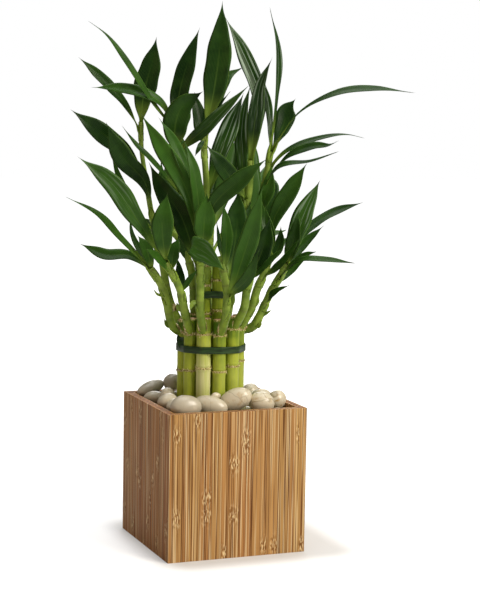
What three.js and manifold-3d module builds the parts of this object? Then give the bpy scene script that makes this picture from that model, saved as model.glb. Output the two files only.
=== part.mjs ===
// Lucky bamboo in a square bamboo-wood pot: cut canes in two tied tiers, leafy shoots,
// pebbles, a plastic liner and a gravel filling. Millimetres, +Z up.
// The origin is the middle of the pot's underside, and the pot's front faces -Y.
import * as THREE from 'three';
import { ConvexGeometry } from 'three/addons/geometries/ConvexGeometry.js';
import { mergeVertices } from 'three/addons/utils/BufferGeometryUtils.js';
import Module from 'manifold-3d';

const wasm = await Module();
wasm.setup();

// Driving dimensions
const potWidth = 127;
const potHeight = 128;
const wallThickness = 7.5;
const glueGap = 0.2;
const baseThickness = 7;

const linerThickness = 1.2;
const linerRim = 121;
const fit = 0.5;
const seatGap = 0.3;

const outerRingRadius = 24.5;
const firstOuterAngle = -169;
const innerRingRadius = 8.2;
const firstInnerAngle = -135;
const bundleCentre = [-3, 0];
const caneFoot = 45;
const caneSides = 10;
const nodeRidge = 0.45;
const ridgeFootDrop = 3;
const ridgeHeadRise = 2;
const cutConeDepth = 0.8;

const tieHeight = 6.2;
const tieThickness = 0.9;
const outerTieMiddle = 176;
const innerTieMiddle = 223;

const leafThickness = 0.9;
const leafFootShare = 0.16;
const leafFootEnd = 0.3;
const swellingPower = 1.05;
const tipThinning = 0.75;
const tipReach = 0.12;
const foldInMiddle = 12;
const foldAtFoot = 46;
const footFoldReach = 0.16;
const stemSides = 6;
const stemRootRadius = 4;
const stemLeastRadius = 2;
const stemTaper = 0.012;
const stemSectionSpacing = 16;

// The plant was set with its best side turned this far from the pot's front.
const plantTurn = THREE.MathUtils.degToRad(-21.8);

// The picture that the plant was measured on: its middle and focal length in pixels, how far its
// camera looks down and is rolled, and where the pot's foot lies from the camera, in mm.
const pictureMiddle = [240, 300];
const focalLength = 1622.2774;
const cameraDip = THREE.MathUtils.degToRad(6.4031);
const cameraRoll = THREE.MathUtils.degToRad(0.98458);
const potFromCamera = { right: -22.35214, ahead: 1462.60151, up: -216.22853 };
const stemSteps = 200;
const highestLeafFoot = 0.98;

// Outer canes, from the left one round the front to the back left: diameter, lower node, top.
const outerCanes = [
  [11, 155, 200],
  [11.5, 157, 203],
  [12.8, 160, 204],
  [11.4, 157, 203],
  [12, 161, 205],
  [11, 164, 205],
  [11.5, 158, 200],
  [12, 162, 204],
  [11.5, 156, 202],
  [11.8, 160, 203],
  [11, 158, 200],
];

// Inner canes, from the front left one round to the back left: diameter, lower node, top.
const innerCanes = [
  [10.4, 206, 243],
  [10.4, 209, 253],
  [10, 204, 248],
  [10, 211, 244],
];

// Pebbles, in the pot's own directions: place x, y, underside z, then length, depth, height, the
// heading of the length and how far its right end is raised, in degrees.
const pebbles = [
  [-42.9, -45.8, 121.4, 26.6, 17, 20, -6, 0],
  [-17.9, -41, 121.2, 30, 14.6, 17.2, -26, -13],
  [5.4, -39.6, 123.6, 30.5, 15.4, 19, -18, 24],
  [29, -43.4, 121.4, 22, 16, 19.2, -14, -6],
  [48.2, -32.8, 123, 16.4, 14, 16.4, 10, -8],
  [46, 25.4, 121.4, 15.5, 15, 14.8, 10, 0],
  [-9.4, -31, 133.2, 8.6, 5, 6.6, 0, 0],
  [-46.4, -10, 122.6, 18.5, 16, 14.5, -10, 10],
  [-40.6, 8, 121.4, 14, 13, 17.8, 10, 0],
  [-44.8, 28.4, 121.4, 20.5, 13.5, 11.5, -10, -2],
  [-23.6, 43.4, 130, 16, 15, 15.6, 0, 14],
  [-43.6, 46, 125.7, 25, 15, 12.6, 4, 18],
  [-15, 46, 121.4, 19, 16, 7.8, -5, 0],
  [8.6, 46, 121.5, 21, 17, 12, 8, 0],
  [27.6, 45.2, 121.6, 15, 18, 12, 0, 0],
  [45, 44.8, 121.4, 19, 17, 10.5, 0, 0],
  [47, 12, 121.6, 15, 10.4, 10.5, 5, 0],
  [46.2, -2, 122.3, 18, 14, 13.4, -12, -6],
  [46.4, -18.8, 121.4, 17.5, 12, 11, 0, 0],
  [-44.8, -27, 121.4, 19, 13.5, 14, 20, 0],
];

// Shoots that the picture of the plant shows. Each one grows from a cane at rootHeight. Every point
// is a reading made by eye on the picture: pixels across and down, and how far the point lies
// behind the pot's middle, in mm. The stem passes through its points. A leaf row holds the pixel
// where it leaves the stem, the points that its midrib passes through up to the tip, its width in
// mm, how far the blade is rolled from facing the viewer, in degrees, and the share of its length
// at which it is widest.
const seenShoots = [
  {
    name: 'shoot_left_low', cane: 1, rootHeight: 187,
    stem: [
      [172.5, 326, -10], [168.5, 314, -14], [166, 301, -18], [162.5, 289, -21],
      [157, 278, -25], [150.5, 268, -28],
    ],
    leaves: [
      [[150, 268], [[122, 239.5, -38], [98, 213.4, -52], [64, 196, -62]], 8.3, 48, 0.45],
      [[154, 274], [[130, 256, -22], [105, 254.3, -23], [80, 243.5, -22]], 12, 35, 0.6],
      [[161, 289], [[133, 235, -8], [130, 214, 4]], 6, 30, 0.5],
      [[152, 270], [[147, 250, -34], [137, 234, -38]], 12, 30, 0.5],
    ],
  },
  {
    name: 'shoot_left_front', cane: 2, rootHeight: 187,
    stem: [[184.5, 308, -36], [180, 291, -43], [173, 275, -48], [165, 263, -51]],
    leaves: [
      [[167, 265], [[135.8, 217, -62], [109.6, 182.2, -70], [77, 156, -76]], 18.2, 15, 0.6],
      [[166, 264], [[162.5, 227, -66], [168, 192, -66]], 19, 0, 0.55],
      [[172, 274], [[158, 258, -62], [146.5, 249, -74]], 10, 50, 0.5],
      [[171, 272], [[173, 253, -52], [180, 237, -50]], 12, 15, 0.5],
      [[184, 292], [[189.5, 279, -46], [197.5, 268.5, -48]], 5.5, 20, 0.45],
      [[184, 295], [[180.3, 276, -30], [177, 256, -27]], 8, 10, 0.45],
    ],
  },
  {
    name: 'shoot_front_bright', cane: 3, rootHeight: 188,
    stem: [[199.5, 310, -40], [200.5, 285, -44], [201, 262, -46], [203, 245, -47]],
    leaves: [
      [[203, 250], [[204.5, 222, -56], [207, 192.5, -58]], 19, -5, 0.5],
      [[201, 258], [[192, 246, -62], [207, 253, -78], [224, 271, -90]], 20, 0, 0.55],
      [[202, 256], [[187, 193, -44], [163, 149, -34], [140.5, 112.5, -26]], 16, 8, 0.6],
      [[203, 248], [[190, 185, -40], [171, 138, -30], [157.5, 116, -22]], 12, 30, 0.65],
      [[203, 247], [[194, 170, -46], [184, 138, -46]], 13, 30, 0.5],
      [[203, 246], [[213, 207, -57], [240, 179, -72], [267, 158, -80]], 16.5, 10, 0.6],
      [[200, 275], [[181, 215, -36], [163, 190, -25], [148, 161.5, -20]], 21, 5, 0.55],
    ],
  },
  {
    name: 'shoot_front_centre', cane: 4, rootHeight: 187,
    stem: [[226.5, 312, -40], [226.5, 290, -44], [224, 272, -44], [221, 256, -42]],
    leaves: [
      [[222, 262], [[219, 240, -34], [217, 221, -30]], 6, 50, 0.5],
      [[223.5, 272], [[227, 238, -50], [223.5, 203, -48]], 11, 20, 0.5],
      [[225, 285], [[236, 235, -20], [238, 188, -2]], 21, 10, 0.55],
      [[227, 303], [[249, 238, -70], [263, 185, -84]], 17.5, -8, 0.5],
      [[227, 296], [[248, 277, -72], [260, 247.5, -86]], 11, 20, 0.5],
    ],
  },
  {
    name: 'shoot_front_right', cane: 5, rootHeight: 192,
    stem: [[244.3, 308, -28], [246.5, 290, -32], [251.5, 272, -34]],
    leaves: [
      [[249, 284], [[264, 245, -44], [270.5, 216.5, -48]], 17.5, 5, 0.5],
      [[251, 274], [[271, 243, -34], [265, 204, -38]], 9, 25, 0.5],
      [[250, 278], [[244, 240, -12], [250, 200, -2]], 18, 30, 0.5],
      [[249, 281], [[266, 266, -50], [283, 248, -64]], 9, 55, 0.5],
    ],
  },
  {
    name: 'shoot_right_inner', cane: 6, rootHeight: 190,
    stem: [[252, 307, -10], [257.3, 290, -12], [264, 273, -14], [270.5, 256, -16]],
    leaves: [
      [[270, 258], [[273.5, 222, -22], [289.6, 192.5, -30], [307, 162, -34]], 16, 12, 0.62],
      [[268, 267], [[279, 245, -11], [281.5, 225.5, -13]], 9, 10, 0.5],
      [[264, 280], [[283, 262, -30], [300, 238, -44]], 9, 50, 0.5],
      [[271, 256], [[262, 225, -6], [258, 190, -4]], 11, 30, 0.5],
    ],
  },
  {
    name: 'shoot_right_low', cane: 7, rootHeight: 188,
    stem: [
      [253, 326.5, 7], [259.5, 315.5, 5], [266.5, 301, 3], [274, 287, 1],
      [281, 276, 0], [287, 264, -2],
    ],
    leaves: [
      [[286, 267], [[301, 220, -4], [320, 179, -6]], 17.8, 8, 0.5],
      [[286, 266], [[293, 240, -22], [299, 211, -28]], 13, 15, 0.5],
      [[286, 266], [[304, 234.3, 14], [330, 214, 22], [364, 202, 26]], 10.5, 40, 0.6],
      [[281, 276], [[301.5, 246, 18], [324, 225, 24]], 10, 35, 0.6],
      [[282, 274], [[303, 256, -18], [316.5, 251.5, -26]], 9, 55, 0.5],
      [[279, 279], [[302, 260, -30], [328, 260.2, -40], [355.5, 263.4, -46]], 7.5, 55, 0.6],
      [[273, 288], [[291, 271, 10], [308, 257, 14]], 8, 40, 0.5],
      [[264, 303], [[275, 291.8, -6], [290.5, 285.5, -12]], 6.5, 35, 0.36],
    ],
  },
  {
    name: 'shoot_left_tall', cane: 11, rootHeight: 185,
    stem: [
      [170.5, 303, 18], [160, 250, 20], [152, 213, 18], [146, 180, 14],
      [141.3, 150, 12], [141, 122, 12],
    ],
    leaves: [
      [[143, 127], [[143.5, 96, 14], [151.5, 62, 16], [156.5, 37, 16]], 21, 0, 0.5],
      [[142, 133], [[124.5, 103.5, 3], [102, 79, -6], [78, 57, -14]], 10.5, 30, 0.62],
      [[147, 180], [[127.3, 153.8, -4], [104.3, 133.8, -18], [70, 108.7, -30]], 17, 10, 0.6],
      [[152, 214], [[144, 181.5, -14], [123, 156.5, -27], [105.5, 122, -36]], 18, 8, 0.66],
      [[157, 232], [[136, 212, -6], [119, 178, -8], [110, 149, -10]], 7, 15, 0.55],
    ],
  },
  {
    name: 'shoot_left_inner', cane: 10, rootHeight: 187,
    stem: [
      [194, 306, 21], [193.5, 289, 20], [191, 269, 16], [187, 253, 12],
      [184, 212, 8], [179, 180, 6], [176, 152, 4], [174, 130, 4],
      [173, 112, 4],
    ],
    leaves: [
      [[190, 262], [[184, 248, 8], [177.5, 233, 4]], 10, 0, 0.5],
      [[176, 135], [[179.5, 92, 12], [188, 61, 15], [200.5, 27, 16]], 17.2, 0, 0.48],
      [[177, 150], [[174.5, 128, -6], [182, 106, -9], [204, 90.5, -10]], 23, -5, 0.45],
      [[176, 128], [[159, 101, -6], [127, 89.2, -15], [90.5, 87.5, -18]], 12, 38, 0.52],
      [[174, 130], [[152, 101, -10], [123.7, 57.5, -24], [105.5, 34, -31], [87.5, 19.8, -36]], 6.8, 40, 0.5],
      [[177, 153], [[205, 127.5, -18], [228, 106, -27], [249.5, 85, -32]], 12, 15, 0.45],
      [[181, 195], [[150.5, 159.5, -6], [135.5, 144, -10], [121.5, 125, -14]], 7, 50, 0.5],
      [[187, 226], [[171, 200, 26], [160, 173, 34]], 14, 30, 0.5],
    ],
  },
  {
    name: 'shoot_centre_tall', cane: 12, rootHeight: 229,
    stem: [[207, 250, -14], [207, 215, -14], [206, 180, -12], [204, 150, -10], [206, 128, -10]],
    leaves: [
      [[206, 130], [[214.3, 88, -15], [219.5, 50, -17], [222.5, 0, -18]], 22.8, 0, 0.5],
      [[205, 133], [[214, 106, 0], [228, 78, 6], [242, 67.5, 9]], 14, 30, 0.6],
      [[206, 140], [[220, 106, -14], [231, 90.5, -16]], 6.5, 50, 0.5],
      [[205, 150], [[199, 118, 2], [194, 91.5, 8]], 15, 25, 0.5],
      [[207, 200], [[219, 155, -5], [231, 123, 0], [244, 92, 4]], 17.5, 12, 0.55],
      [[206, 137], [[200, 147, -20], [195, 156.5, -22]], 5, 20, 0.5],
    ],
  },
  {
    name: 'shoot_right_high', cane: 13, rootHeight: 234,
    stem: [[232, 250, -4], [243, 218, 0], [249, 188, 2], [250, 160, 2]],
    leaves: [
      [[250, 165], [[255.5, 118, -6], [260.5, 85, -11], [272.5, 57, -14]], 13.5, 5, 0.45],
      [[246, 205], [[241.5, 140, 4], [244.5, 112, 6], [251.5, 82, 8]], 12.5, 20, 0.5],
      [[246, 200], [[233, 182, -22], [220, 163, -30], [206.5, 144.5, -34]], 16, 18, 0.6],
      [[244, 214], [[242, 180, 14], [241, 135, 26]], 13, 30, 0.5],
      [[250, 170], [[257.5, 130, 12], [259, 97, 18], [241, 47.5, 20], [224.5, 15.2, 20]], 15, 15, 0.6],
    ],
  },
  {
    name: 'shoot_right_tall', cane: 14, rootHeight: 235,
    stem: [[240, 250, 14], [256, 215, 14], [264, 185, 12], [270, 152, 10]],
    leaves: [
      [[270, 154], [[276.5, 98, 12], [277.5, 52, 12], [269.8, 6.5, 12]], 10.5, 60, 0.6],
      [[270, 153], [[299, 113.3, 0], [337, 92.6, -7], [375, 89.3, -12], [416, 92.6, -16]], 9, 55, 0.65],
      [[270, 158], [[284.5, 122, 23], [288, 109, 26], [295.5, 98.5, 28]], 17.5, 5, 0.66],
      [[267, 172], [[288, 151, 9], [322, 137.3, 7], [347, 134.8, 8], [365, 138, 8]], 7, 50, 0.38],
      [[265, 182], [[289, 156, -5], [315, 146, -9], [330, 145.2, -11], [338.5, 141, -12]], 8.2, 40, 0.66],
      [[262, 193], [[280, 166, -16], [310, 161.3, -26], [339, 151.8, -34]], 6.8, 58, 0.4],
      [[257, 214.6], [[267.5, 190, 2], [272, 164.5, 4]], 13, 10, 0.5],
      [[270, 151], [[270, 122, 22], [268, 100, 24], [264.5, 81, 26]], 7, 20, 0.6],
    ],
  },
];

// Shoots at the back, which the picture doesn't show, in mm: x to the right, y away and z up, seen
// from the plant's best side. Their leaf rows start with the share of the stem's length at which
// the leaf leaves it.
const hiddenShoots = [
  {
    name: 'shoot_back_right', cane: 8, rootHeight: 186,
    stem: [[12, 35, 203], [15, 42, 222], [22, 48, 241], [33, 53, 266]],
    leaves: [
      [0.95, [[50, 84, 308], [46, 116, 326]], 20, 40, 0.5],
      [0.97, [[44, 90, 312], [46, 126, 338]], 21, 150, 0.5],
      [0.8, [[28, 78, 330], [16, 96, 384]], 20, 170, 0.5],
      [0.7, [[58, 62, 262], [80, 66, 272]], 18, 60, 0.5],
      [0.5, [[40, 90, 262], [66, 128, 272]], 17, 110, 0.5],
      [0.97, [[29, 70, 328], [23, 92, 382]], 21, 175, 0.5],
    ],
  },
  {
    name: 'shoot_back_centre', cane: 9, rootHeight: 186,
    stem: [[-5, 40, 214], [-6, 50, 244], [-6, 57, 276]],
    leaves: [
      [0.97, [[2, 92, 322], [12, 120, 364]], 21, 180, 0.5],
      [0.9, [[-29, 98, 324], [-46, 126, 346]], 20, 150, 0.5],
      [0.75, [[24, 88, 290], [44, 122, 306]], 18, 130, 0.5],
      [0.6, [[-24, 96, 262], [-34, 140, 268]], 19, 110, 0.5],
      [0.97, [[-30, 62, 326], [-46, 70, 384]], 22, 175, 0.5],
      [0.95, [[8, 76, 324], [18, 90, 364]], 19, 170, 0.5],
    ],
  },
  {
    name: 'shoot_back_left', cane: 15, rootHeight: 230,
    stem: [[-12, 26, 246], [-28, 44, 262], [-40, 52, 274]],
    leaves: [
      [0.97, [[-64, 68, 274], [-84, 84, 290]], 20, 140, 0.5],
      [0.95, [[-46, 92, 290], [-50, 128, 310]], 20, 150, 0.5],
      [0.8, [[-42, 66, 312], [-42, 84, 362]], 20, 170, 0.5],
      [0.6, [[-60, 64, 254], [-72, 74, 258]], 18, 100, 0.5],
      [0.97, [[-50, 54, 300], [-52, 58, 338]], 19, 60, 0.5],
      [0.9, [[-34, 78, 306], [-28, 100, 348]], 19, 175, 0.5],
    ],
  },
];

// Shared helpers

const vectors = (points) => points.map((point) => new THREE.Vector3(...point));

function solid(geometry) {
  const bare = geometry.clone();
  bare.deleteAttribute('normal');
  bare.deleteAttribute('uv');
  const merged = mergeVertices(bare, 1e-5);
  return new wasm.Manifold(new wasm.Mesh({
    numProp: 3,
    vertProperties: new Float32Array(merged.attributes.position.array),
    triVerts: new Uint32Array(merged.index.array),
  }));
}

// Keeps the largest closed shell, so a loose scrap or a sealed hollow left by a join goes.
function geometryOf(manifold) {
  const { vertProperties, triVerts } = manifold.getMesh();
  const shellOf = Array.from({ length: vertProperties.length / 3 }, (_, vertex) => vertex);
  const find = (vertex) => {
    while (shellOf[vertex] !== vertex) {
      shellOf[vertex] = shellOf[shellOf[vertex]];
      vertex = shellOf[vertex];
    }
    return vertex;
  };
  for (let i = 0; i < triVerts.length; i += 3) {
    shellOf[find(triVerts[i + 1])] = find(triVerts[i]);
    shellOf[find(triVerts[i + 2])] = find(triVerts[i]);
  }
  const shells = new Map();
  for (let i = 0; i < triVerts.length; i += 3) {
    const shell = find(triVerts[i]);
    if (!shells.has(shell)) shells.set(shell, []);
    shells.get(shell).push(triVerts[i], triVerts[i + 1], triVerts[i + 2]);
  }
  const largest = [...shells.values()].sort((a, b) => b.length - a.length)[0];
  const geometry = new THREE.BufferGeometry();
  geometry.setAttribute('position', new THREE.BufferAttribute(vertProperties, 3));
  geometry.setIndex(largest);
  return geometry;
}

function boxAt(width, depth, bottom, top) {
  const box = new THREE.BoxGeometry(width, depth, top - bottom);
  box.translate(0, 0, (top + bottom) / 2);
  return box;
}

// An upright cylinder with one corner of its section on +X.
function postAt([x, y], radius, bottom, top, sides) {
  const post = new THREE.CylinderGeometry(radius, radius, top - bottom, sides);
  post.rotateX(Math.PI / 2);
  post.translate(x, y, (top + bottom) / 2);
  return post;
}

// A closed skin over sections that all have the same number of corners, each running
// counterclockwise about the way it is swept. It closes on a point, if one is given, or flat.
// From the corner flippedFrom on, each four-sided face is split along its other diagonal.
function skin(sections, point, flippedFrom) {
  const corners = sections[0].length;
  const places = sections.flat();
  const faces = [];
  for (let i = 0; i < sections.length - 1; i += 1) {
    for (let k = 0; k < corners; k += 1) {
      const next = (k + 1) % corners;
      const a = i * corners + k;
      const b = i * corners + next;
      const c = b + corners;
      const d = a + corners;
      if (k >= flippedFrom) faces.push(a, b, d, b, c, d);
      else faces.push(a, b, c, a, c, d);
    }
  }
  const last = (sections.length - 1) * corners;
  for (let k = 1; k < corners - 1; k += 1) faces.push(0, k + 1, k);
  if (point) {
    places.push(point);
    for (let k = 0; k < corners; k += 1) faces.push(last + k, last + (k + 1) % corners, places.length - 1);
  } else {
    for (let k = 1; k < corners - 1; k += 1) faces.push(last, last + k, last + k + 1);
  }
  const geometry = new THREE.BufferGeometry().setFromPoints(places);
  geometry.setIndex(faces);
  return geometry;
}

// Pot: four mitred walls, a base board between them and a plastic liner

function wallGeometry(quarterTurns) {
  const half = potWidth / 2;
  const mitre = glueGap / 2 * Math.SQRT2;
  const plan = new THREE.Shape([
    new THREE.Vector2(-half + mitre, -half),
    new THREE.Vector2(half - mitre, -half),
    new THREE.Vector2(half - wallThickness - mitre, -half + wallThickness),
    new THREE.Vector2(-half + wallThickness + mitre, -half + wallThickness),
  ]);
  const wall = new THREE.ExtrudeGeometry(plan, { depth: potHeight, bevelEnabled: false });
  wall.rotateZ(quarterTurns * Math.PI / 2);
  return wall;
}

const innerWidth = potWidth - 2 * wallThickness;
const linerWidth = innerWidth - 2 * fit;
const linerBottom = baseThickness + seatGap;
const fillWidth = linerWidth - 2 * linerThickness - 2 * seatGap;
const fillBottom = linerBottom + linerThickness + seatGap;
const fillTop = linerRim;

function linerSolid() {
  const cavityWidth = linerWidth - 2 * linerThickness;
  const outside = solid(boxAt(linerWidth, linerWidth, linerBottom, linerRim));
  const cavity = boxAt(cavityWidth, cavityWidth, linerBottom + linerThickness, linerRim + 1);
  return outside.subtract(solid(cavity));
}

// Canes

function canePlace(index) {
  const inner = index >= outerCanes.length;
  const firstAngle = inner ? firstInnerAngle : firstOuterAngle;
  const count = inner ? innerCanes.length : outerCanes.length;
  const radius = inner ? innerRingRadius : outerRingRadius;
  const step = inner ? index - outerCanes.length : index;
  const angle = THREE.MathUtils.degToRad(firstAngle + step * 360 / count);
  return [bundleCentre[0] + radius * Math.cos(angle), bundleCentre[1] + radius * Math.sin(angle)];
}

// The place in the plant that shows at a pixel, depth mm behind the pot's middle, to a whole mm.
function placeSeenAt([across, down, depth]) {
  const right = across - pictureMiddle[0];
  const below = down - pictureMiddle[1];
  const level = right * Math.cos(cameraRoll) + below * Math.sin(cameraRoll);
  const slope = (right * Math.sin(cameraRoll) - below * Math.cos(cameraRoll)) / focalLength;
  const reach = Math.cos(cameraDip) * depth + potFromCamera.ahead;
  const rise = slope * reach - Math.sin(cameraDip) * depth - potFromCamera.up;
  const height = rise / (Math.cos(cameraDip) + slope * Math.sin(cameraDip));
  const ahead = reach - Math.sin(cameraDip) * height;
  return [Math.round(level * ahead / focalLength - potFromCamera.right), depth, Math.round(height)];
}

function pixelOf({ x, y, z }) {
  const ahead = Math.cos(cameraDip) * y - Math.sin(cameraDip) * z + potFromCamera.ahead;
  const up = Math.sin(cameraDip) * y + Math.cos(cameraDip) * z + potFromCamera.up;
  const level = focalLength * (x + potFromCamera.right) / ahead;
  const drop = -focalLength * up / ahead;
  return [
    pictureMiddle[0] + Math.cos(cameraRoll) * level - Math.sin(cameraRoll) * drop,
    pictureMiddle[1] + Math.sin(cameraRoll) * level + Math.cos(cameraRoll) * drop,
  ];
}

function stemLine({ cane, rootHeight, stem }) {
  const [x, y] = canePlace(cane - 1);
  return new THREE.CatmullRomCurve3([new THREE.Vector3(x, y, rootHeight), ...vectors(stem)]);
}

// The share of a stem's length at which it passes nearest to a pixel, to a whole hundredth.
function shareNearest(line, [across, down]) {
  const lengths = line.getLengths(stemSteps);
  const distances = lengths.map((_, step) => {
    const [x, y] = pixelOf(line.getPoint(step / stemSteps));
    return Math.hypot(x - across, y - down);
  });
  const nearest = distances.indexOf(Math.min(...distances));
  const share = Math.round(100 * lengths[nearest] / lengths[stemSteps]) / 100;
  return Math.min(share, highestLeafFoot);
}

function inMillimetres(shoot) {
  const stem = shoot.stem.map(placeSeenAt);
  const line = stemLine({ ...shoot, stem });
  const leaves = shoot.leaves.map(([foot, path, ...blade]) => {
    return [shareNearest(line, foot), path.map(placeSeenAt), ...blade];
  });
  return { ...shoot, stem, leaves };
}

const shoots = [...seenShoots.map(inMillimetres), ...hiddenShoots];

const canes = [...outerCanes, ...innerCanes].map(([diameter, lowerNode, top], index) => {
  const shoot = shoots.find((each) => each.cane === index + 1);
  const place = canePlace(index);
  return { place, radius: diameter / 2, nodes: [lowerNode, shoot.rootHeight + 2], top };
});

// The outline swells at each node and the cut top is slightly hollow.
function caneProfile({ radius, nodes, top }, growth = 0) {
  const r = radius + growth;
  const outline = [new THREE.Vector2(0, caneFoot - growth), new THREE.Vector2(r, caneFoot - growth)];
  for (const node of nodes) {
    outline.push(new THREE.Vector2(r, node - ridgeFootDrop));
    outline.push(new THREE.Vector2(r + nodeRidge, node));
    outline.push(new THREE.Vector2(r, node + ridgeHeadRise));
  }
  outline.push(new THREE.Vector2(r, top + growth));
  outline.push(new THREE.Vector2(0, top + growth - cutConeDepth));
  return outline;
}

function caneGeometry(cane, growth) {
  const body = new THREE.LatheGeometry(caneProfile(cane, growth), caneSides);
  body.rotateX(Math.PI / 2);
  body.translate(cane.place[0], cane.place[1], 0);
  return body;
}

function turned([x, y], angle) {
  return new THREE.Vector2(x, y).rotateAround(new THREE.Vector2(), angle).toArray();
}

// The gravel filling has a plain hole for each cane.
function fillSolid() {
  let fill = solid(boxAt(fillWidth, fillWidth, fillBottom, fillTop));
  for (const { place, radius } of canes) {
    const hole = postAt(turned(place, plantTurn), radius + fit, caneFoot - seatGap, fillTop + 1, caneSides);
    fill = fill.subtract(solid(hole));
  }
  return fill;
}

// Ties: a band round each tier, as wide as the ring of canes that it holds

function hullAround(members, clearance, bottom, top) {
  const cornersPerCane = 16;
  const points = [];
  for (const { place, radius } of members) {
    for (let k = 0; k < cornersPerCane; k += 1) {
      const angle = k * 2 * Math.PI / cornersPerCane;
      const reach = (radius + clearance) / Math.cos(Math.PI / cornersPerCane);
      const x = place[0] + reach * Math.cos(angle);
      const y = place[1] + reach * Math.sin(angle);
      points.push(new THREE.Vector3(x, y, bottom), new THREE.Vector3(x, y, top));
    }
  }
  return solid(new ConvexGeometry(points));
}

function tieSolid(members, middle) {
  const bottom = middle - tieHeight / 2;
  const top = middle + tieHeight / 2;
  const outside = hullAround(members, seatGap + tieThickness, bottom, top);
  return outside.subtract(hullAround(members, seatGap, bottom - 1, top + 1));
}

// Shoots

const viewer = new THREE.Vector3(0, -1, 0);
const leafStations = [0, 0.13, 0.3, 0.48, 0.66, 0.81, 0.93];

// The blade narrows to a slim foot, and its last stretch is drawn out into a thin tip.
function bladeHalfWidth(t, width, widest) {
  const towardsWidest = Math.pow(t, Math.log(0.5) / Math.log(widest));
  const swelling = Math.pow(Math.sin(Math.PI * towardsWidest), swellingPower);
  const thinning = 1 - tipThinning * Math.exp(-Math.pow((1 - t) / tipReach, 2));
  const foot = t < leafFootEnd ? leafFootShare : 0;
  return width / 2 * Math.max(swelling * thinning, foot);
}

// Each half of the blade rises from the midrib by this angle, most at the leaf's foot.
function foldAngle(t) {
  const footShare = Math.exp(-Math.pow(t / footFoldReach, 2));
  return THREE.MathUtils.degToRad(THREE.MathUtils.lerp(foldInMiddle, foldAtFoot, footShare));
}

function leafGeometry(root, path, width, turn, widest) {
  const midrib = new THREE.CatmullRomCurve3([root, ...path]);
  const tip = path.at(-1);
  const chord = tip.clone().sub(root).normalize();
  const facing = viewer.clone().addScaledVector(chord, -viewer.dot(chord)).normalize();
  const upward = new THREE.Vector3().crossVectors(chord, facing);
  if (upward.z < 0) upward.negate();
  const roll = THREE.MathUtils.degToRad(turn);
  const open = facing.multiplyScalar(Math.cos(roll)).addScaledVector(upward, Math.sin(roll));

  const sections = leafStations.map((t) => {
    const place = midrib.getPointAt(t);
    const along = midrib.getTangentAt(t);
    const normal = open.clone().addScaledVector(along, -along.dot(open)).normalize();
    const across = new THREE.Vector3().crossVectors(along, normal);
    const half = bladeHalfWidth(t, width, widest);
    const fold = foldAngle(t);
    const section = [];
    for (const face of [1, -1]) {
      for (const side of [-face, 0, face]) {
        const corner = place.clone().addScaledVector(across, side * half * Math.cos(fold));
        corner.addScaledVector(normal, Math.abs(side) * half * Math.sin(fold) + face * leafThickness / 2);
        section.push(corner);
      }
    }
    return section;
  });
  const cornersOnOneFace = 3;
  return skin(sections, tip, cornersOnOneFace);
}

function stemGeometry(curve) {
  const length = curve.getLength();
  const steps = Math.max(5, Math.round(length / stemSectionSpacing));
  const frames = curve.computeFrenetFrames(steps, false);
  const sections = [];
  for (let i = 0; i <= steps; i += 1) {
    const place = curve.getPointAt(i / steps);
    const radius = Math.max(stemRootRadius - stemTaper * length * i / steps, stemLeastRadius);
    const section = [];
    for (let k = 0; k < stemSides; k += 1) {
      const angle = k * 2 * Math.PI / stemSides;
      const corner = place.clone().addScaledVector(frames.normals[i], radius * Math.cos(angle));
      section.push(corner.addScaledVector(frames.binormals[i], radius * Math.sin(angle)));
    }
    sections.push(section);
  }
  return skin(sections, null, Infinity);
}

// The shoot's foot is cut to its cane's side, where it springs from the node.
function shootSolid(row) {
  const curve = stemLine(row);
  let shoot = solid(stemGeometry(curve));
  for (const [at, path, width, turn, widest] of row.leaves) {
    const leaf = leafGeometry(curve.getPointAt(at), vectors(path), width, turn, widest);
    shoot = shoot.add(solid(leaf));
  }
  return shoot.subtract(solid(caneGeometry(canes[row.cane - 1], seatGap)));
}

// Pebbles: rounded stones, each swollen in its own places

function pebbleGeometry([x, y, underside, length, depth, height, heading, lean], index) {
  const tilt = THREE.MathUtils.degToRad(lean);
  const drop = Math.hypot(length * Math.sin(tilt), height * Math.cos(tilt)) / 2;
  const stone = new THREE.IcosahedronGeometry(1, 1);
  const corners = stone.attributes.position;
  for (let i = 0; i < corners.count; i += 1) {
    const corner = new THREE.Vector3().fromBufferAttribute(corners, i);
    const swelling = 1.03 + 0.04 * Math.sin(3 * corner.x + 2 * corner.y + index);
    corners.setXYZ(i, corner.x * swelling, corner.y * swelling, corner.z);
  }
  stone.scale(length / 2, depth / 2, height / 2);
  stone.rotateY(-tilt);
  stone.rotateZ(THREE.MathUtils.degToRad(heading));
  stone.translate(x, y, underside + drop);
  return stone;
}

// Materials

const finish = (color, roughness) => new THREE.MeshStandardMaterial({ color, roughness, metalness: 0 });
const bambooBoard = finish('#bd9160', 0.55);
const plasticBlack = finish('#1d1d1b', 0.5);
const gravelGrey = finish('#8d8774', 0.8);
const pebbleCream = finish('#cdc6a8', 0.25);
const caneGreen = finish('#aab85c', 0.4);
const tieGreen = finish('#24402a', 0.5);
const leafGreen = finish('#35602c', 0.4);

// Assembly

const pot = new THREE.Group();
const plant = new THREE.Group();
plant.rotation.z = plantTurn;
const group = new THREE.Group();
group.add(pot, plant);

function place(parent, name, geometry, material) {
  const mesh = new THREE.Mesh(geometry, material);
  mesh.name = name;
  parent.add(mesh);
}

const twoDigits = (number) => String(number).padStart(2, '0');

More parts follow.
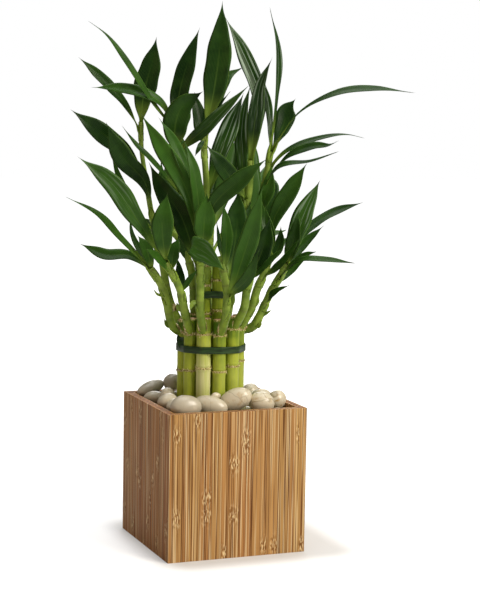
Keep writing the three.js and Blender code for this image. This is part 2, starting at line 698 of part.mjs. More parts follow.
['wall_front', 'wall_right', 'wall_back', 'wall_left'].forEach((name, quarterTurns) => {
  place(pot, name, wallGeometry(quarterTurns), bambooBoard);
});
const baseWidth = innerWidth - 2 * glueGap;
place(pot, 'base_board', boxAt(baseWidth, baseWidth, 0, baseThickness), bambooBoard);
place(pot, 'liner', geometryOf(linerSolid()), plasticBlack);
place(pot, 'gravel_filling', geometryOf(fillSolid()), gravelGrey);
pebbles.forEach((pebble, index) => {
  place(pot, `pebble_${twoDigits(index + 1)}`, pebbleGeometry(pebble, index), pebbleCream);
});
canes.forEach((cane, index) => {
  place(plant, `cane_${twoDigits(index + 1)}`, caneGeometry(cane, 0), caneGreen);
});
place(plant, 'tie_outer', geometryOf(tieSolid(canes.slice(0, outerCanes.length), outerTieMiddle)), tieGreen);
place(plant, 'tie_inner', geometryOf(tieSolid(canes.slice(outerCanes.length), innerTieMiddle)), tieGreen);
shoots.forEach((shoot) => {
  place(plant, shoot.name, geometryOf(shootSolid(shoot)), leafGreen);
});

export default group;
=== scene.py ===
import math
import random

import bmesh
import bpy
from mathutils import Matrix, Vector, geometry, noise


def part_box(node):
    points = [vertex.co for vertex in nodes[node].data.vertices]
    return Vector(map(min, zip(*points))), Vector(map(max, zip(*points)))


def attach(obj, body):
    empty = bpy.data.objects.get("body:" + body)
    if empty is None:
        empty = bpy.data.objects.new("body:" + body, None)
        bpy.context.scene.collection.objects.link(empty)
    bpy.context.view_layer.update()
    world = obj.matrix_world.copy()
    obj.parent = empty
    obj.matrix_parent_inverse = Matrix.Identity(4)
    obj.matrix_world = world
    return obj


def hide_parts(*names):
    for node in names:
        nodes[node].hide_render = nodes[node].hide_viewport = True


# Lucky bamboo in a square bamboo-wood pot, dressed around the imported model. Metres, +Z up.
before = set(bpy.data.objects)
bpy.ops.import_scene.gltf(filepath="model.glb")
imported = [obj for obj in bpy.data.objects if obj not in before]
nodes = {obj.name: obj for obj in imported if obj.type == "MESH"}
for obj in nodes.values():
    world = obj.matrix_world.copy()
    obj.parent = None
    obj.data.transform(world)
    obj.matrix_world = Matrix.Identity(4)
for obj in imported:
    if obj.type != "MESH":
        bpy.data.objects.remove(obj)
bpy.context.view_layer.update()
mm = 0.001

# The plant was set with its best side turned this far from the pot's front.
plantTurn = math.radians(-21.8)
plantToPot = Matrix.Rotation(plantTurn, 4, "Z") @ Matrix.Scale(mm, 4)


# An sRGB hex value as linear red, green, blue and alpha.
def linear(hexColour):
    values = [int(hexColour[place:place + 2], 16) / 255 for place in (1, 3, 5)]
    return [v / 12.92 if v <= 0.04045 else ((v + 0.055) / 1.055) ** 2.4 for v in values] + [1]


# The scale of a pattern whose grains are this many millimetres across.
def grainScale(size):
    return 1 / (size * mm)


# Adds one node. An input is a value, a socket to link, or for a colour ramp a list of stops.
def addNode(tree, kind, inputs=None, stops=None, **settings):
    node = tree.nodes.new(kind)
    for name, value in settings.items():
        setattr(node, name, value)
    for key, value in (inputs or {}).items():
        if isinstance(value, bpy.types.NodeSocket):
            tree.links.new(value, node.inputs[key])
        else:
            node.inputs[key].default_value = value
    if stops:
        ramp = node.color_ramp
        while len(ramp.elements) < len(stops):
            ramp.elements.new(0.5)
        for element, (position, hexColour) in zip(ramp.elements, stops):
            element.position = position
            element.color = linear(hexColour)
    return node


# A new material with its constants on the shader's own sockets, and the place that its patterns read.
def startMaterial(name, **sockets):
    material = bpy.data.materials.new(name)
    material.use_nodes = True
    tree = material.node_tree
    shader = tree.nodes["Principled BSDF"]
    for key, value in sockets.items():
        shader.inputs[key.replace("_", " ")].default_value = value
    place = addNode(tree, "ShaderNodeTexCoord").outputs["Object"]
    return material, tree, shader, place


# Links a material's colour, and a relief from a height, so many millimetres deep.
def dress(tree, shader, colour, height, strength, depth):
    tree.links.new(colour, shader.inputs["Base Color"])
    bump = addNode(tree, "ShaderNodeBump", {"Strength": strength, "Distance": depth * mm, "Height": height})
    tree.links.new(bump.outputs[0], shader.inputs["Normal"])


# A new tree for the Geometry Nodes modifier, with its named inputs.
def startTree(name, sockets):
    tree = bpy.data.node_groups.new(name, "GeometryNodeTree")
    tree.interface.new_socket(name="Geometry", in_out="INPUT", socket_type="NodeSocketGeometry")
    for label, kind in sockets.items():
        tree.interface.new_socket(name=label, in_out="INPUT", socket_type="NodeSocket" + kind)
    tree.interface.new_socket(name="Geometry", in_out="OUTPUT", socket_type="NodeSocketGeometry")
    given = tree.nodes.new("NodeGroupInput").outputs
    return tree, given


# Ends a tree: its instances made real, in one finish.
def endTree(tree, made, material):
    real = addNode(tree, "GeometryNodeRealizeInstances", {0: made.outputs[0]})
    finished = addNode(tree, "GeometryNodeSetMaterial", {
        "Geometry": real.outputs[0], "Material": material})
    addNode(tree, "NodeGroupOutput", {0: finished.outputs[0]})
    return tree


# Runs a tree on a mesh, keeps the outcome as a plain mesh and takes the modifiers off.
def runTree(name, mesh, tree, values, bevel=0):
    piece = bpy.data.objects.new(name, mesh)
    bpy.context.scene.collection.objects.link(piece)
    modifier = piece.modifiers.new("shape", "NODES")
    modifier.node_group = tree
    for item in tree.interface.items_tree:
        if item.in_out == "INPUT" and item.name in values:
            modifier[item.identifier] = values[item.name]
    if bevel:
        edges = piece.modifiers.new("edges", "BEVEL")
        edges.width = bevel
        edges.segments = 2
        edges.limit_method = "ANGLE"
    bpy.context.view_layer.update()
    whole = piece.evaluated_get(bpy.context.evaluated_depsgraph_get())
    made = bpy.data.meshes.new_from_object(whole)
    piece.modifiers.clear()
    piece.data = made
    return piece


# A mesh from places and faces, with one number or vector kept at each place under each name.
def meshOf(name, places, edges, faces, kept=None):
    mesh = bpy.data.meshes.new(name)
    mesh.from_pydata([tuple(p) for p in places], edges, faces)
    for label, values in (kept or {}).items():
        isVector = hasattr(values[0], "__len__")
        layer = mesh.attributes.new(label, "FLOAT_VECTOR" if isVector else "FLOAT", "POINT")
        for entry, value in zip(layer.data, values):
            if isVector:
                entry.vector = value
            else:
                entry.value = value
    return mesh


def makePiece(name, mesh):
    piece = bpy.data.objects.new(name, mesh)
    bpy.context.scene.collection.objects.link(piece)
    return piece


def smooth(piece):
    piece.data.polygons.foreach_set("use_smooth", [True] * len(piece.data.polygons))


# A bell curve: 1 at no distance, and about a third at its reach.
def bell(distance, reach):
    return math.exp(-(distance / reach) ** 2)


# Every piece stands in the pot's own body, and the nodes that it replaces are hidden. The slot is not used.
def settle(piece, slot, *replaced):
    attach(piece, "root")
    if replaced:
        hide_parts(*replaced)


# Bamboo board: steamed bamboo laminated in upright strips, sanded and given a satin oil. It is honey
# brown with dark fibre ends, and each strip shows a knuckle where the culm had its joint.
boardLook = {
    "darkStrip": "#a2683a",
    "lightStrip": "#c69f60",
    "seam": "#dcbc8c",
    "fibre": "#60381a",
    "paleFibre": "#ead0a0",
    "fibreWidth": 0.62,
    "paleWidth": 0.5,
    "fibreLength": 80,
    "knuckleReach": 7,
    "dashWidth": 0.7692,
    "dashLength": 3.846,
    "knuckleDark": "#7d5128",
    "knuckleLight": "#e6cb98",
    "roughness": 0.55,
}


# Where a strip shows a knuckle, from 0 to 1. It has up to two: their heights, and their place across
# the strip, are kept on it.
def knuckleMark(tree, place, across):
    kept = addNode(tree, "ShaderNodeAttribute", attribute_name="knuckles")
    height = addNode(tree, "ShaderNodeSeparateXYZ", {0: place}).outputs[2]
    heights = addNode(tree, "ShaderNodeSeparateXYZ", {0: kept.outputs["Vector"]})
    bumps = []
    for index in (0, 1):
        gap = addNode(tree, "ShaderNodeMath", {0: height, 1: heights.outputs[index]}, operation="SUBTRACT")
        share = addNode(tree, "ShaderNodeMath", {
            0: gap.outputs[0], 1: boardLook["knuckleReach"] * mm}, operation="DIVIDE")
        square = addNode(tree, "ShaderNodeMath", {
            0: share.outputs[0], 1: share.outputs[0]}, operation="MULTIPLY")
        fall = addNode(tree, "ShaderNodeMath", {0: square.outputs[0], 1: -1}, operation="MULTIPLY")
        bumps.append(addNode(tree, "ShaderNodeMath", {0: fall.outputs[0]}, operation="EXPONENT").outputs[0])
    knuckle = addNode(tree, "ShaderNodeMath", {0: bumps[0], 1: bumps[1]}, operation="MAXIMUM")
    offset = addNode(tree, "ShaderNodeMath", {0: across, 1: heights.outputs[2]}, operation="SUBTRACT")
    offsetSquare = addNode(tree, "ShaderNodeMath", {
        0: offset.outputs[0], 1: offset.outputs[0]}, operation="MULTIPLY")
    middle = addNode(tree, "ShaderNodeMapRange", {0: offsetSquare.outputs[0], 1: 0.15, 2: 0.9, 3: 1, 4: 0})
    mark = addNode(tree, "ShaderNodeMath", {
        0: knuckle.outputs[0], 1: middle.outputs[0]}, operation="MULTIPLY")
    return mark.outputs[0]


def boardStrips():
    look = boardLook
    material, tree, shader, place = startMaterial("oiledBambooStrips", Roughness=look["roughness"], IOR=1.5)
    shader.inputs["Specular IOR Level"].default_value = 0.15
    tone = addNode(tree, "ShaderNodeAttribute", attribute_name="tone").outputs["Fac"]
    across = addNode(tree, "ShaderNodeAttribute", attribute_name="across").outputs["Fac"]

    shift = addNode(tree, "ShaderNodeCombineXYZ", {2: tone})
    moved = addNode(tree, "ShaderNodeVectorMath", {0: place, 1: shift.outputs[0]}, operation="ADD")

    def grainOf(width, length, **kinds):
        thin, long = grainScale(width), grainScale(length)
        grain = addNode(tree, "ShaderNodeMapping", {"Vector": moved.outputs[0], "Scale": (thin, thin, long)})
        drawn = addNode(tree, "ShaderNodeTexNoise", {"Vector": grain.outputs[0], "Scale": 0.5, **kinds})
        return drawn.outputs["Fac"]

    fibres = grainOf(look["fibreWidth"], look["fibreLength"], Detail=2.5, Roughness=0.6)
    fine = grainOf(look["paleWidth"], look["fibreLength"] * 0.7, Detail=2, Roughness=0.5)
    broad = grainOf(look["fibreWidth"] * 3, look["fibreLength"] * 1.3, Detail=1, Roughness=0.5)

    strip = addNode(tree, "ShaderNodeMix", {
        0: tone, 6: linear(look["darkStrip"]), 7: linear(look["lightStrip"])}, data_type="RGBA")
    shade = addNode(tree, "ShaderNodeMapRange", {0: broad, 1: 0.3, 2: 0.7, 3: 0.85, 4: 1.12})
    toned = addNode(tree, "ShaderNodeVectorMath", {
        0: strip.outputs[2], 3: shade.outputs[0]}, operation="SCALE")
    darkShare = addNode(tree, "ShaderNodeMapRange", {0: fibres, 1: 0.49, 2: 0.4, 3: 0, 4: 0.95})
    dark = addNode(tree, "ShaderNodeMix", {
        0: darkShare.outputs[0], 6: toned.outputs[0], 7: linear(look["fibre"])}, data_type="RGBA")
    paleShare = addNode(tree, "ShaderNodeMapRange", {0: fine, 1: 0.53, 2: 0.68, 3: 0, 4: 0.8})
    pale = addNode(tree, "ShaderNodeMix", {
        0: paleShare.outputs[0], 6: dark.outputs[2], 7: linear(look["paleFibre"])}, data_type="RGBA")

    # Strips meet in a dark glue line, and a strip toned above 1 is a pale splice.
    side = addNode(tree, "ShaderNodeMath", {0: across}, operation="ABSOLUTE")
    glue = addNode(tree, "ShaderNodeMapRange", {0: side.outputs[0], 1: 0.9, 2: 1, 3: 0, 4: 0.4})
    glued = addNode(tree, "ShaderNodeMix", {
        0: glue.outputs[0], 6: pale.outputs[2], 7: linear(look["fibre"])}, data_type="RGBA")
    splice = addNode(tree, "ShaderNodeMapRange", {0: tone, 1: 1, 2: 1.5, 3: 0, 4: 0.85})
    spliced = addNode(tree, "ShaderNodeMix", {
        0: splice.outputs[0], 6: glued.outputs[2], 7: linear(look["seam"])}, data_type="RGBA")

    # Dark and light dashes swirl in each knuckle.
    mark = knuckleMark(tree, place, across)
    thin, long = grainScale(look["dashWidth"]), grainScale(look["dashLength"])
    dashes = addNode(tree, "ShaderNodeMapping", {"Vector": moved.outputs[0], "Scale": (thin, thin, long)})
    swirl = addNode(tree, "ShaderNodeTexNoise", {
        "Vector": dashes.outputs[0], "Scale": 0.8, "Detail": 1, "Roughness": 0.5, "Distortion": 0.25})
    isDark = addNode(tree, "ShaderNodeMapRange", {0: swirl.outputs["Fac"], 1: 0.48, 2: 0.4, 3: 0, 4: 1.3})
    isLight = addNode(tree, "ShaderNodeMapRange", {0: swirl.outputs["Fac"], 1: 0.54, 2: 0.62, 3: 0, 4: 1.3})
    darkMark = addNode(tree, "ShaderNodeMath", {
        0: isDark.outputs[0], 1: mark}, operation="MULTIPLY", use_clamp=True)
    lightMark = addNode(tree, "ShaderNodeMath", {
        0: isLight.outputs[0], 1: mark}, operation="MULTIPLY", use_clamp=True)
    marked = addNode(tree, "ShaderNodeMix", {
        0: darkMark.outputs[0], 6: spliced.outputs[2], 7: linear(look["knuckleDark"])}, data_type="RGBA")
    finished = addNode(tree, "ShaderNodeMix", {
        0: lightMark.outputs[0], 6: marked.outputs[2], 7: linear(look["knuckleLight"])}, data_type="RGBA")
    relief = addNode(tree, "ShaderNodeMath", {
        0: swirl.outputs["Fac"], 1: mark, 2: fibres}, operation="MULTIPLY_ADD")
    dress(tree, shader, finished.outputs[2], relief.outputs[0], strength=0.35, depth=0.4)
    return material


# Middle ply: strips laid crossways, so the edge shows darker, rougher end grain.
crossLook = {
    "dark": "#6b3f22",
    "light": "#a5713f",
    "grainLength": 6.25,
    "grainWidth": 1.111,
    "roughness": 0.65,
}


def crossPly():
    look = crossLook
    material, tree, shader, place = startMaterial("bambooCrossPly", Roughness=look["roughness"], IOR=1.5)
    thin, long = grainScale(look["grainWidth"]), grainScale(look["grainLength"])
    grain = addNode(tree, "ShaderNodeMapping", {"Vector": place, "Scale": (long, long, thin)})
    speck = addNode(tree, "ShaderNodeTexNoise", {"Vector": grain.outputs[0], "Scale": 1.5, "Detail": 4})
    colour = addNode(tree, "ShaderNodeValToRGB", {0: speck.outputs["Fac"]}, stops=[
        (0.3, look["dark"]), (0.7, look["light"])])
    dress(tree, shader, colour.outputs[0], speck.outputs["Fac"], strength=0.3, depth=0.4)
    return material


# Black polyethylene, blow-moulded: a dull sheen with the mould's fine orange-peel.
linerLook = {"dark": "#171614", "light": "#2a2724", "peelSize": 1.111, "roughness": 0.45}


def linerPlastic():
    look = linerLook
    material, tree, shader, place = startMaterial("blackPolyethylene", Roughness=look["roughness"], IOR=1.51)
    peel = addNode(tree, "ShaderNodeTexNoise", {
        "Vector": place, "Scale": grainScale(look["peelSize"]), "Detail": 2})
    colour = addNode(tree, "ShaderNodeValToRGB", {0: peel.outputs["Fac"]}, stops=[
        (0.35, look["dark"]), (0.7, look["light"])])
    dress(tree, shader, colour.outputs[0], peel.outputs["Fac"], strength=0.2, depth=0.2)
    return material


# Crushed river gravel, damp and unsorted: grains of 3 to 5 mm from grey to rust.
gravelLook = {
    "dark": "#3d352a",
    "grey": "#6e6350",
    "pale": "#8f8468",
    "rust": "#6b4a2c",
    "grainSize": 3.846,
    "gritSize": 0.4545,
    "roughness": 0.6,
}


def gravelGrains():
    look = gravelLook
    material, tree, shader, place = startMaterial("dampRiverGravel", Roughness=look["roughness"], IOR=1.54)
    grain = addNode(tree, "ShaderNodeTexVoronoi", {
        "Vector": place, "Scale": grainScale(look["grainSize"])})
    shade = addNode(tree, "ShaderNodeSeparateColor", {0: grain.outputs["Color"]})
    colour = addNode(tree, "ShaderNodeValToRGB", {0: shade.outputs[0]}, stops=[
        (0.0, look["dark"]), (0.35, look["grey"]), (0.7, look["pale"]), (1.0, look["rust"])])
    speck = addNode(tree, "ShaderNodeTexNoise", {
        "Vector": place, "Scale": grainScale(look["gritSize"]), "Detail": 2})
    height = addNode(tree, "ShaderNodeMath", {
        0: speck.outputs["Fac"], 1: 0.3, 2: grain.outputs["Distance"]}, operation="MULTIPLY_ADD")
    dress(tree, shader, colour.outputs[0], height.outputs[0], strength=0.5, depth=1)
    return material


# Tumbled quartzite pebbles, wax polished: smooth and glossy over cloudy cream, grey and olive, with
# a few hairline veins and rusty yellow stains.
stoneLook = {
    "greyOlive": "#979080",
    "cream": "#e3d9bd",
    "cloud": "#e6dfc8",
    "stain": "#b98f3a",
    "vein": "#7d6a3c",
    "cloudSize": 16,
    "stainSize": 6.667,
    "veinSpacing": 20.83,
    "bendSize": 16.67,
    "bendReach": 12,
    "roughness": 0.3,
}


def polishedStone():
    look = stoneLook
    material, tree, shader, place = startMaterial(
        "polishedQuartzitePebble", Roughness=look["roughness"], IOR=1.54,
        Coat_Weight=0.15, Coat_Roughness=0.2)
    tone = addNode(tree, "ShaderNodeAttribute", attribute_name="tone").outputs["Fac"]
    stained = addNode(tree, "ShaderNodeAttribute", attribute_name="stain").outputs["Fac"]
    base = addNode(tree, "ShaderNodeMix", {
        0: tone, 6: linear(look["greyOlive"]), 7: linear(look["cream"])}, data_type="RGBA")
    clouds = addNode(tree, "ShaderNodeTexNoise", {
        "Vector": place, "Scale": grainScale(look["cloudSize"]),
        "Detail": 4, "Roughness": 0.55, "Distortion": 0.8})
    cloudShare = addNode(tree, "ShaderNodeMapRange", {
        0: clouds.outputs["Fac"], 1: 0.48, 2: 0.75, 3: 0, 4: 0.4})
    cloudy = addNode(tree, "ShaderNodeMix", {
        0: cloudShare.outputs[0], 6: base.outputs[2], 7: linear(look["cloud"])}, data_type="RGBA")
    rust = addNode(tree, "ShaderNodeTexNoise", {
        "Vector": place, "Scale": grainScale(look["stainSize"]),
        "Detail": 5, "Roughness": 0.6, "Distortion": 1.2})
    rustShare = addNode(tree, "ShaderNodeMapRange", {
        0: rust.outputs["Fac"], 1: 0.54, 2: 0.66, 3: 0, 4: 0.75})
    rusty = addNode(tree, "ShaderNodeMath", {0: rustShare.outputs[0], 1: stained}, operation="MULTIPLY")
    yellowed = addNode(tree, "ShaderNodeMix", {
        0: rusty.outputs[0], 6: cloudy.outputs[2], 7: linear(look["stain"])}, data_type="RGBA")
    bent = addNode(tree, "ShaderNodeTexNoise", {
        "Vector": place, "Scale": grainScale(look["bendSize"]), "Detail": 2})
    bend = addNode(tree, "ShaderNodeVectorMath", {
        0: bent.outputs["Color"], 3: look["bendReach"] * mm}, operation="SCALE")
    warped = addNode(tree, "ShaderNodeVectorMath", {0: place, 1: bend.outputs[0]}, operation="ADD")
    cracks = addNode(tree, "ShaderNodeTexVoronoi", {
        "Vector": warped.outputs[0], "Scale": grainScale(look["veinSpacing"])}, feature="DISTANCE_TO_EDGE")
    crackShare = addNode(tree, "ShaderNodeMapRange", {
        0: cracks.outputs["Distance"], 1: 0.03, 2: 0, 3: 0, 4: 0.7})
    veinShare = addNode(tree, "ShaderNodeMath", {
        0: crackShare.outputs[0], 1: stained}, operation="MULTIPLY")
    veined = addNode(tree, "ShaderNodeMix", {
        0: veinShare.outputs[0], 6: yellowed.outputs[2], 7: linear(look["vein"])}, data_type="RGBA")
    dress(tree, shader, veined.outputs[2], rust.outputs["Fac"], strength=0.12, depth=0.5)
    return material


# Cane skin: living stem with a thin wax bloom. Yellow-green with fine upright streaks, paler where
# the bloom is thick, and a corky brown scar round each node.
caneLook = {
    "deepGreen": "#4e7016",
    "yellowGreen": "#abb930",
    "bloom": "#e2dfa8",
    "scar": "#aa9b50",
    "scarDark": "#463a16",
    "scarPale": "#ece4b0",
    "streakWidth": 0.9,
    "streakLength": 40,
    "patchSize": 11.11,
    "corkSize": 1.111,
    "roughness": 0.36,
}


def caneSkin():
    look = caneLook
    material, tree, shader, place = startMaterial(
        "waxyCaneSkin", Roughness=look["roughness"], IOR=1.45)
    shader.inputs["Specular IOR Level"].default_value = 0.2
    green = addNode(tree, "ShaderNodeAttribute", attribute_name="green").outputs["Fac"]
    bloom = addNode(tree, "ShaderNodeAttribute", attribute_name="bloom").outputs["Fac"]
    scar = addNode(tree, "ShaderNodeAttribute", attribute_name="scar").outputs["Fac"]
    thin, long = grainScale(look["streakWidth"]), grainScale(look["streakLength"])
    grain = addNode(tree, "ShaderNodeMapping", {"Vector": place, "Scale": (thin, thin, long)})
    streaks = addNode(tree, "ShaderNodeTexNoise", {"Vector": grain.outputs[0], "Scale": 0.7, "Detail": 3})
    patches = addNode(tree, "ShaderNodeTexNoise", {
        "Vector": place, "Scale": grainScale(look["patchSize"]), "Detail": 3})
    streakShare = addNode(tree, "ShaderNodeMapRange", {
        0: streaks.outputs["Fac"], 1: 0.3, 2: 0.7, 3: -0.22, 4: 0.22})
    patchShare = addNode(tree, "ShaderNodeMapRange", {
        0: patches.outputs["Fac"], 1: 0.3, 2: 0.7, 3: -0.2, 4: 0.2})
    streaked = addNode(tree, "ShaderNodeMath", {0: green, 1: streakShare.outputs[0]}, operation="ADD")
    patched = addNode(tree, "ShaderNodeMath", {
        0: streaked.outputs[0], 1: patchShare.outputs[0]}, operation="ADD", use_clamp=True)
    skin = addNode(tree, "ShaderNodeMix", {
        0: patched.outputs[0], 6: linear(look["yellowGreen"]),
        7: linear(look["deepGreen"])}, data_type="RGBA")
    bloomShare = addNode(tree, "ShaderNodeMath", {
        0: bloom, 1: streaks.outputs["Fac"]}, operation="MULTIPLY")
    paled = addNode(tree, "ShaderNodeMix", {
        0: bloomShare.outputs[0], 6: skin.outputs[2], 7: linear(look["bloom"])}, data_type="RGBA")
    rough = addNode(tree, "ShaderNodeTexNoise", {
        "Vector": place, "Scale": grainScale(look["corkSize"]), "Detail": 3, "Roughness": 0.7})
    cork = addNode(tree, "ShaderNodeValToRGB", {0: rough.outputs["Fac"]}, stops=[
        (0.38, look["scarDark"]), (0.5, look["scar"]), (0.66, look["scarPale"])])
    frayed = addNode(tree, "ShaderNodeMath", {0: scar, 1: rough.outputs["Fac"]}, operation="MULTIPLY")
    scarShare = addNode(tree, "ShaderNodeMapRange", {0: frayed.outputs[0], 1: 0.16, 2: 0.3, 3: 0, 4: 1})
    ringed = addNode(tree, "ShaderNodeMix", {
        0: scarShare.outputs[0], 6: paled.outputs[2], 7: cork.outputs[0]}, data_type="RGBA")
    height = addNode(tree, "ShaderNodeMath", {
        0: rough.outputs["Fac"], 1: scarShare.outputs[0],
        2: streaks.outputs["Fac"]}, operation="MULTIPLY_ADD")
    dress(tree, shader, ringed.outputs[2], height.outputs[0], strength=0.25, depth=0.4)
    return material


# Cut end of a cane, dried: fibrous tan pith with a brown rim.
cutLook = {
    "pith": "#e2d2ac",
    "tan": "#c3a377",
    "brown": "#7d5734",
    "rim": "#4a3020",
    "stain": "#8a6540",
    "fibreSize": 0.7692,
    "stainSize": 3.333,
    "roughness": 0.8,
}


def driedCut():
    look = cutLook
    material, tree, shader, place = startMaterial("driedCaneEnd", Roughness=look["roughness"], IOR=1.45)
    rim = addNode(tree, "ShaderNodeAttribute", attribute_name="rim").outputs["Fac"]
    pith = addNode(tree, "ShaderNodeTexNoise", {
        "Vector": place, "Scale": grainScale(look["fibreSize"]), "Detail": 3})
    uneven = addNode(tree, "ShaderNodeTexNoise", {
        "Vector": place, "Scale": grainScale(look["stainSize"]), "Detail": 2})
    shade = addNode(tree, "ShaderNodeMath", {
        0: rim, 1: 0.55, 2: pith.outputs["Fac"]}, operation="MULTIPLY_ADD")
    colour = addNode(tree, "ShaderNodeValToRGB", {0: shade.outputs[0]}, stops=[
        (0.3, look["pith"]), (0.55, look["tan"]), (0.85, look["brown"]), (1.0, look["rim"])])
    burnt = addNode(tree, "ShaderNodeMapRange", {0: uneven.outputs["Fac"], 1: 0.4, 2: 0.65, 3: 0, 4: 0.7})
    mixed = addNode(tree, "ShaderNodeMix", {
        0: burnt.outputs[0], 6: colour.outputs[0], 7: linear(look["stain"])}, data_type="RGBA")
    dress(tree, shader, mixed.outputs[2], pith.outputs["Fac"], strength=0.6, depth=0.5)
    return material


# Dry leaf sheath: papery and fibrous, straw to dark brown.
sheathLook = {
    "dark": "#443616",
    "straw": "#a49450",
    "pale": "#e8dfa8",
    "patchSize": 2.381,
    "roughness": 0.75,
}


def drySheath():
    look = sheathLook
    material, tree, shader, place = startMaterial("dryLeafSheath", Roughness=look["roughness"], IOR=1.45)
    patch = addNode(tree, "ShaderNodeTexNoise", {
        "Vector": place, "Scale": grainScale(look["patchSize"]), "Detail": 3})
    colour = addNode(tree, "ShaderNodeValToRGB", {0: patch.outputs["Fac"]}, stops=[
        (0.26, look["dark"]), (0.44, look["straw"]), (0.62, look["pale"])])
    dress(tree, shader, colour.outputs[0], patch.outputs["Fac"], strength=0.4, depth=0.4)
    return material


# Florist's tie: flat dark green PVC band with a soft gloss. Pale lines along it are stretch marks and
# painted highlights.
tieLook = {
    "dark": "#14260a",
    "green": "#243f18",
    # Pale green of the stretch marks, lightened as a painted highlight.
    "stretchMarkAndHighlight": "#3d5f2a",
    "markLength": 16.67,
    "markWidth": 1.111,
    "roughness": 0.34,
}


def tieBand():
    look = tieLook
    material, tree, shader, place = startMaterial("greenTieBand", Roughness=look["roughness"], IOR=1.53)
    shader.inputs["Specular IOR Level"].default_value = 0.3
    thin, long = grainScale(look["markWidth"]), grainScale(look["markLength"])
    grain = addNode(tree, "ShaderNodeMapping", {"Vector": place, "Scale": (long, long, thin)})
    lines = addNode(tree, "ShaderNodeTexNoise", {"Vector": grain.outputs[0], "Scale": 1.2, "Detail": 3})
    colour = addNode(tree, "ShaderNodeValToRGB", {0: lines.outputs["Fac"]}, stops=[
        (0.3, look["dark"]), (0.55, look["green"]), (0.75, look["stretchMarkAndHighlight"])])
    dress(tree, shader, colour.outputs[0], lines.outputs["Fac"], strength=0.35, depth=0.4)
    return material


# Young stem: smooth and fleshy, light green with a yellow cast and faint rings.
stemLook = {
    "foot": "#8aa336",
    "top": "#98b24e",
    "shade": "#45641c",
    "ring": "#75833a",
    "patchSize": 9.091,
    "roughness": 0.4,
}


def stemSkin():
    look = stemLook
    material, tree, shader, place = startMaterial(
        "fleshyShootSkin", Roughness=look["roughness"], IOR=1.45)
    shader.inputs["Specular IOR Level"].default_value = 0.25
    along = addNode(tree, "ShaderNodeAttribute", attribute_name="along").outputs["Fac"]
    ring = addNode(tree, "ShaderNodeAttribute", attribute_name="ring").outputs["Fac"]
    base = addNode(tree, "ShaderNodeMix", {
        0: along, 6: linear(look["foot"]), 7: linear(look["top"])}, data_type="RGBA")
    patches = addNode(tree, "ShaderNodeTexNoise", {
        "Vector": place, "Scale": grainScale(look["patchSize"]), "Detail": 4})
    patchShare = addNode(tree, "ShaderNodeMapRange", {
        0: patches.outputs["Fac"], 1: 0.35, 2: 0.7, 3: 0, 4: 0.7})
    shaded = addNode(tree, "ShaderNodeMix", {
        0: patchShare.outputs[0], 6: base.outputs[2], 7: linear(look["shade"])}, data_type="RGBA")
    ringed = addNode(tree, "ShaderNodeMix", {
        0: ring, 6: shaded.outputs[2], 7: linear(look["ring"])}, data_type="RGBA")
    dress(tree, shader, ringed.outputs[2], patches.outputs["Fac"], strength=0.15, depth=0.4)
    return material


# Leaf blade: leathery with a satin cuticle, veins running its whole length and a yellow-green foot.
# A pale line along its edge is a painted highlight, and a few blades carry silvery streaks of painted
# highlight. The underside is greyer.
leafLook = {
    "dark": "#0d2a09",
    "bright": "#3c661e",
    "foot": "#84a03c",
    # Pale green of the veins and midrib, also painted along the edge as a highlight.
    "paleVeinAndEdgeHighlight": "#7b9c44",
    "under": "#3f5f2b",
    "paintedHighlight": "#b2c6b0",
    "driedTip": "#2c2a1a",
    "veinSpacing": 1.3,
    "blotchSize": 14.29,
    "highlightStreakPattern": (1.1, 4, 1),  # how often the painted highlight comes and goes, by vein and along the blade
    "roughness": 0.32,
}


# How much painted highlight shows, from 0 to 1: it lies in long silvery streaks on the outer part
# of a few blades, in place of a soft box's reflection.
def paintedHighlightStreaks(tree, read):
    spot = addNode(tree, "ShaderNodeCombineXYZ", {0: read["veins"], 1: read["along"]})
    scaled = addNode(tree, "ShaderNodeMapping", {
        "Vector": spot.outputs[0], "Scale": leafLook["highlightStreakPattern"]})
    streaks = addNode(tree, "ShaderNodeTexNoise", {
        "Vector": scaled.outputs[0], "Scale": 0.6, "Detail": 2, "Roughness": 0.6})
    streakShare = addNode(tree, "ShaderNodeMapRange", {
        0: streaks.outputs["Fac"], 1: 0.5, 2: 0.62, 3: 0, 4: 1})
    reach = addNode(tree, "ShaderNodeMapRange", {
        0: read["along"], 1: 0.3, 2: 0.5, 3: 0, 4: read["paintedHighlight"]})
    share = addNode(tree, "ShaderNodeMath", {
        0: streakShare.outputs[0], 1: reach.outputs[0]}, operation="MULTIPLY")
    return share.outputs[0]


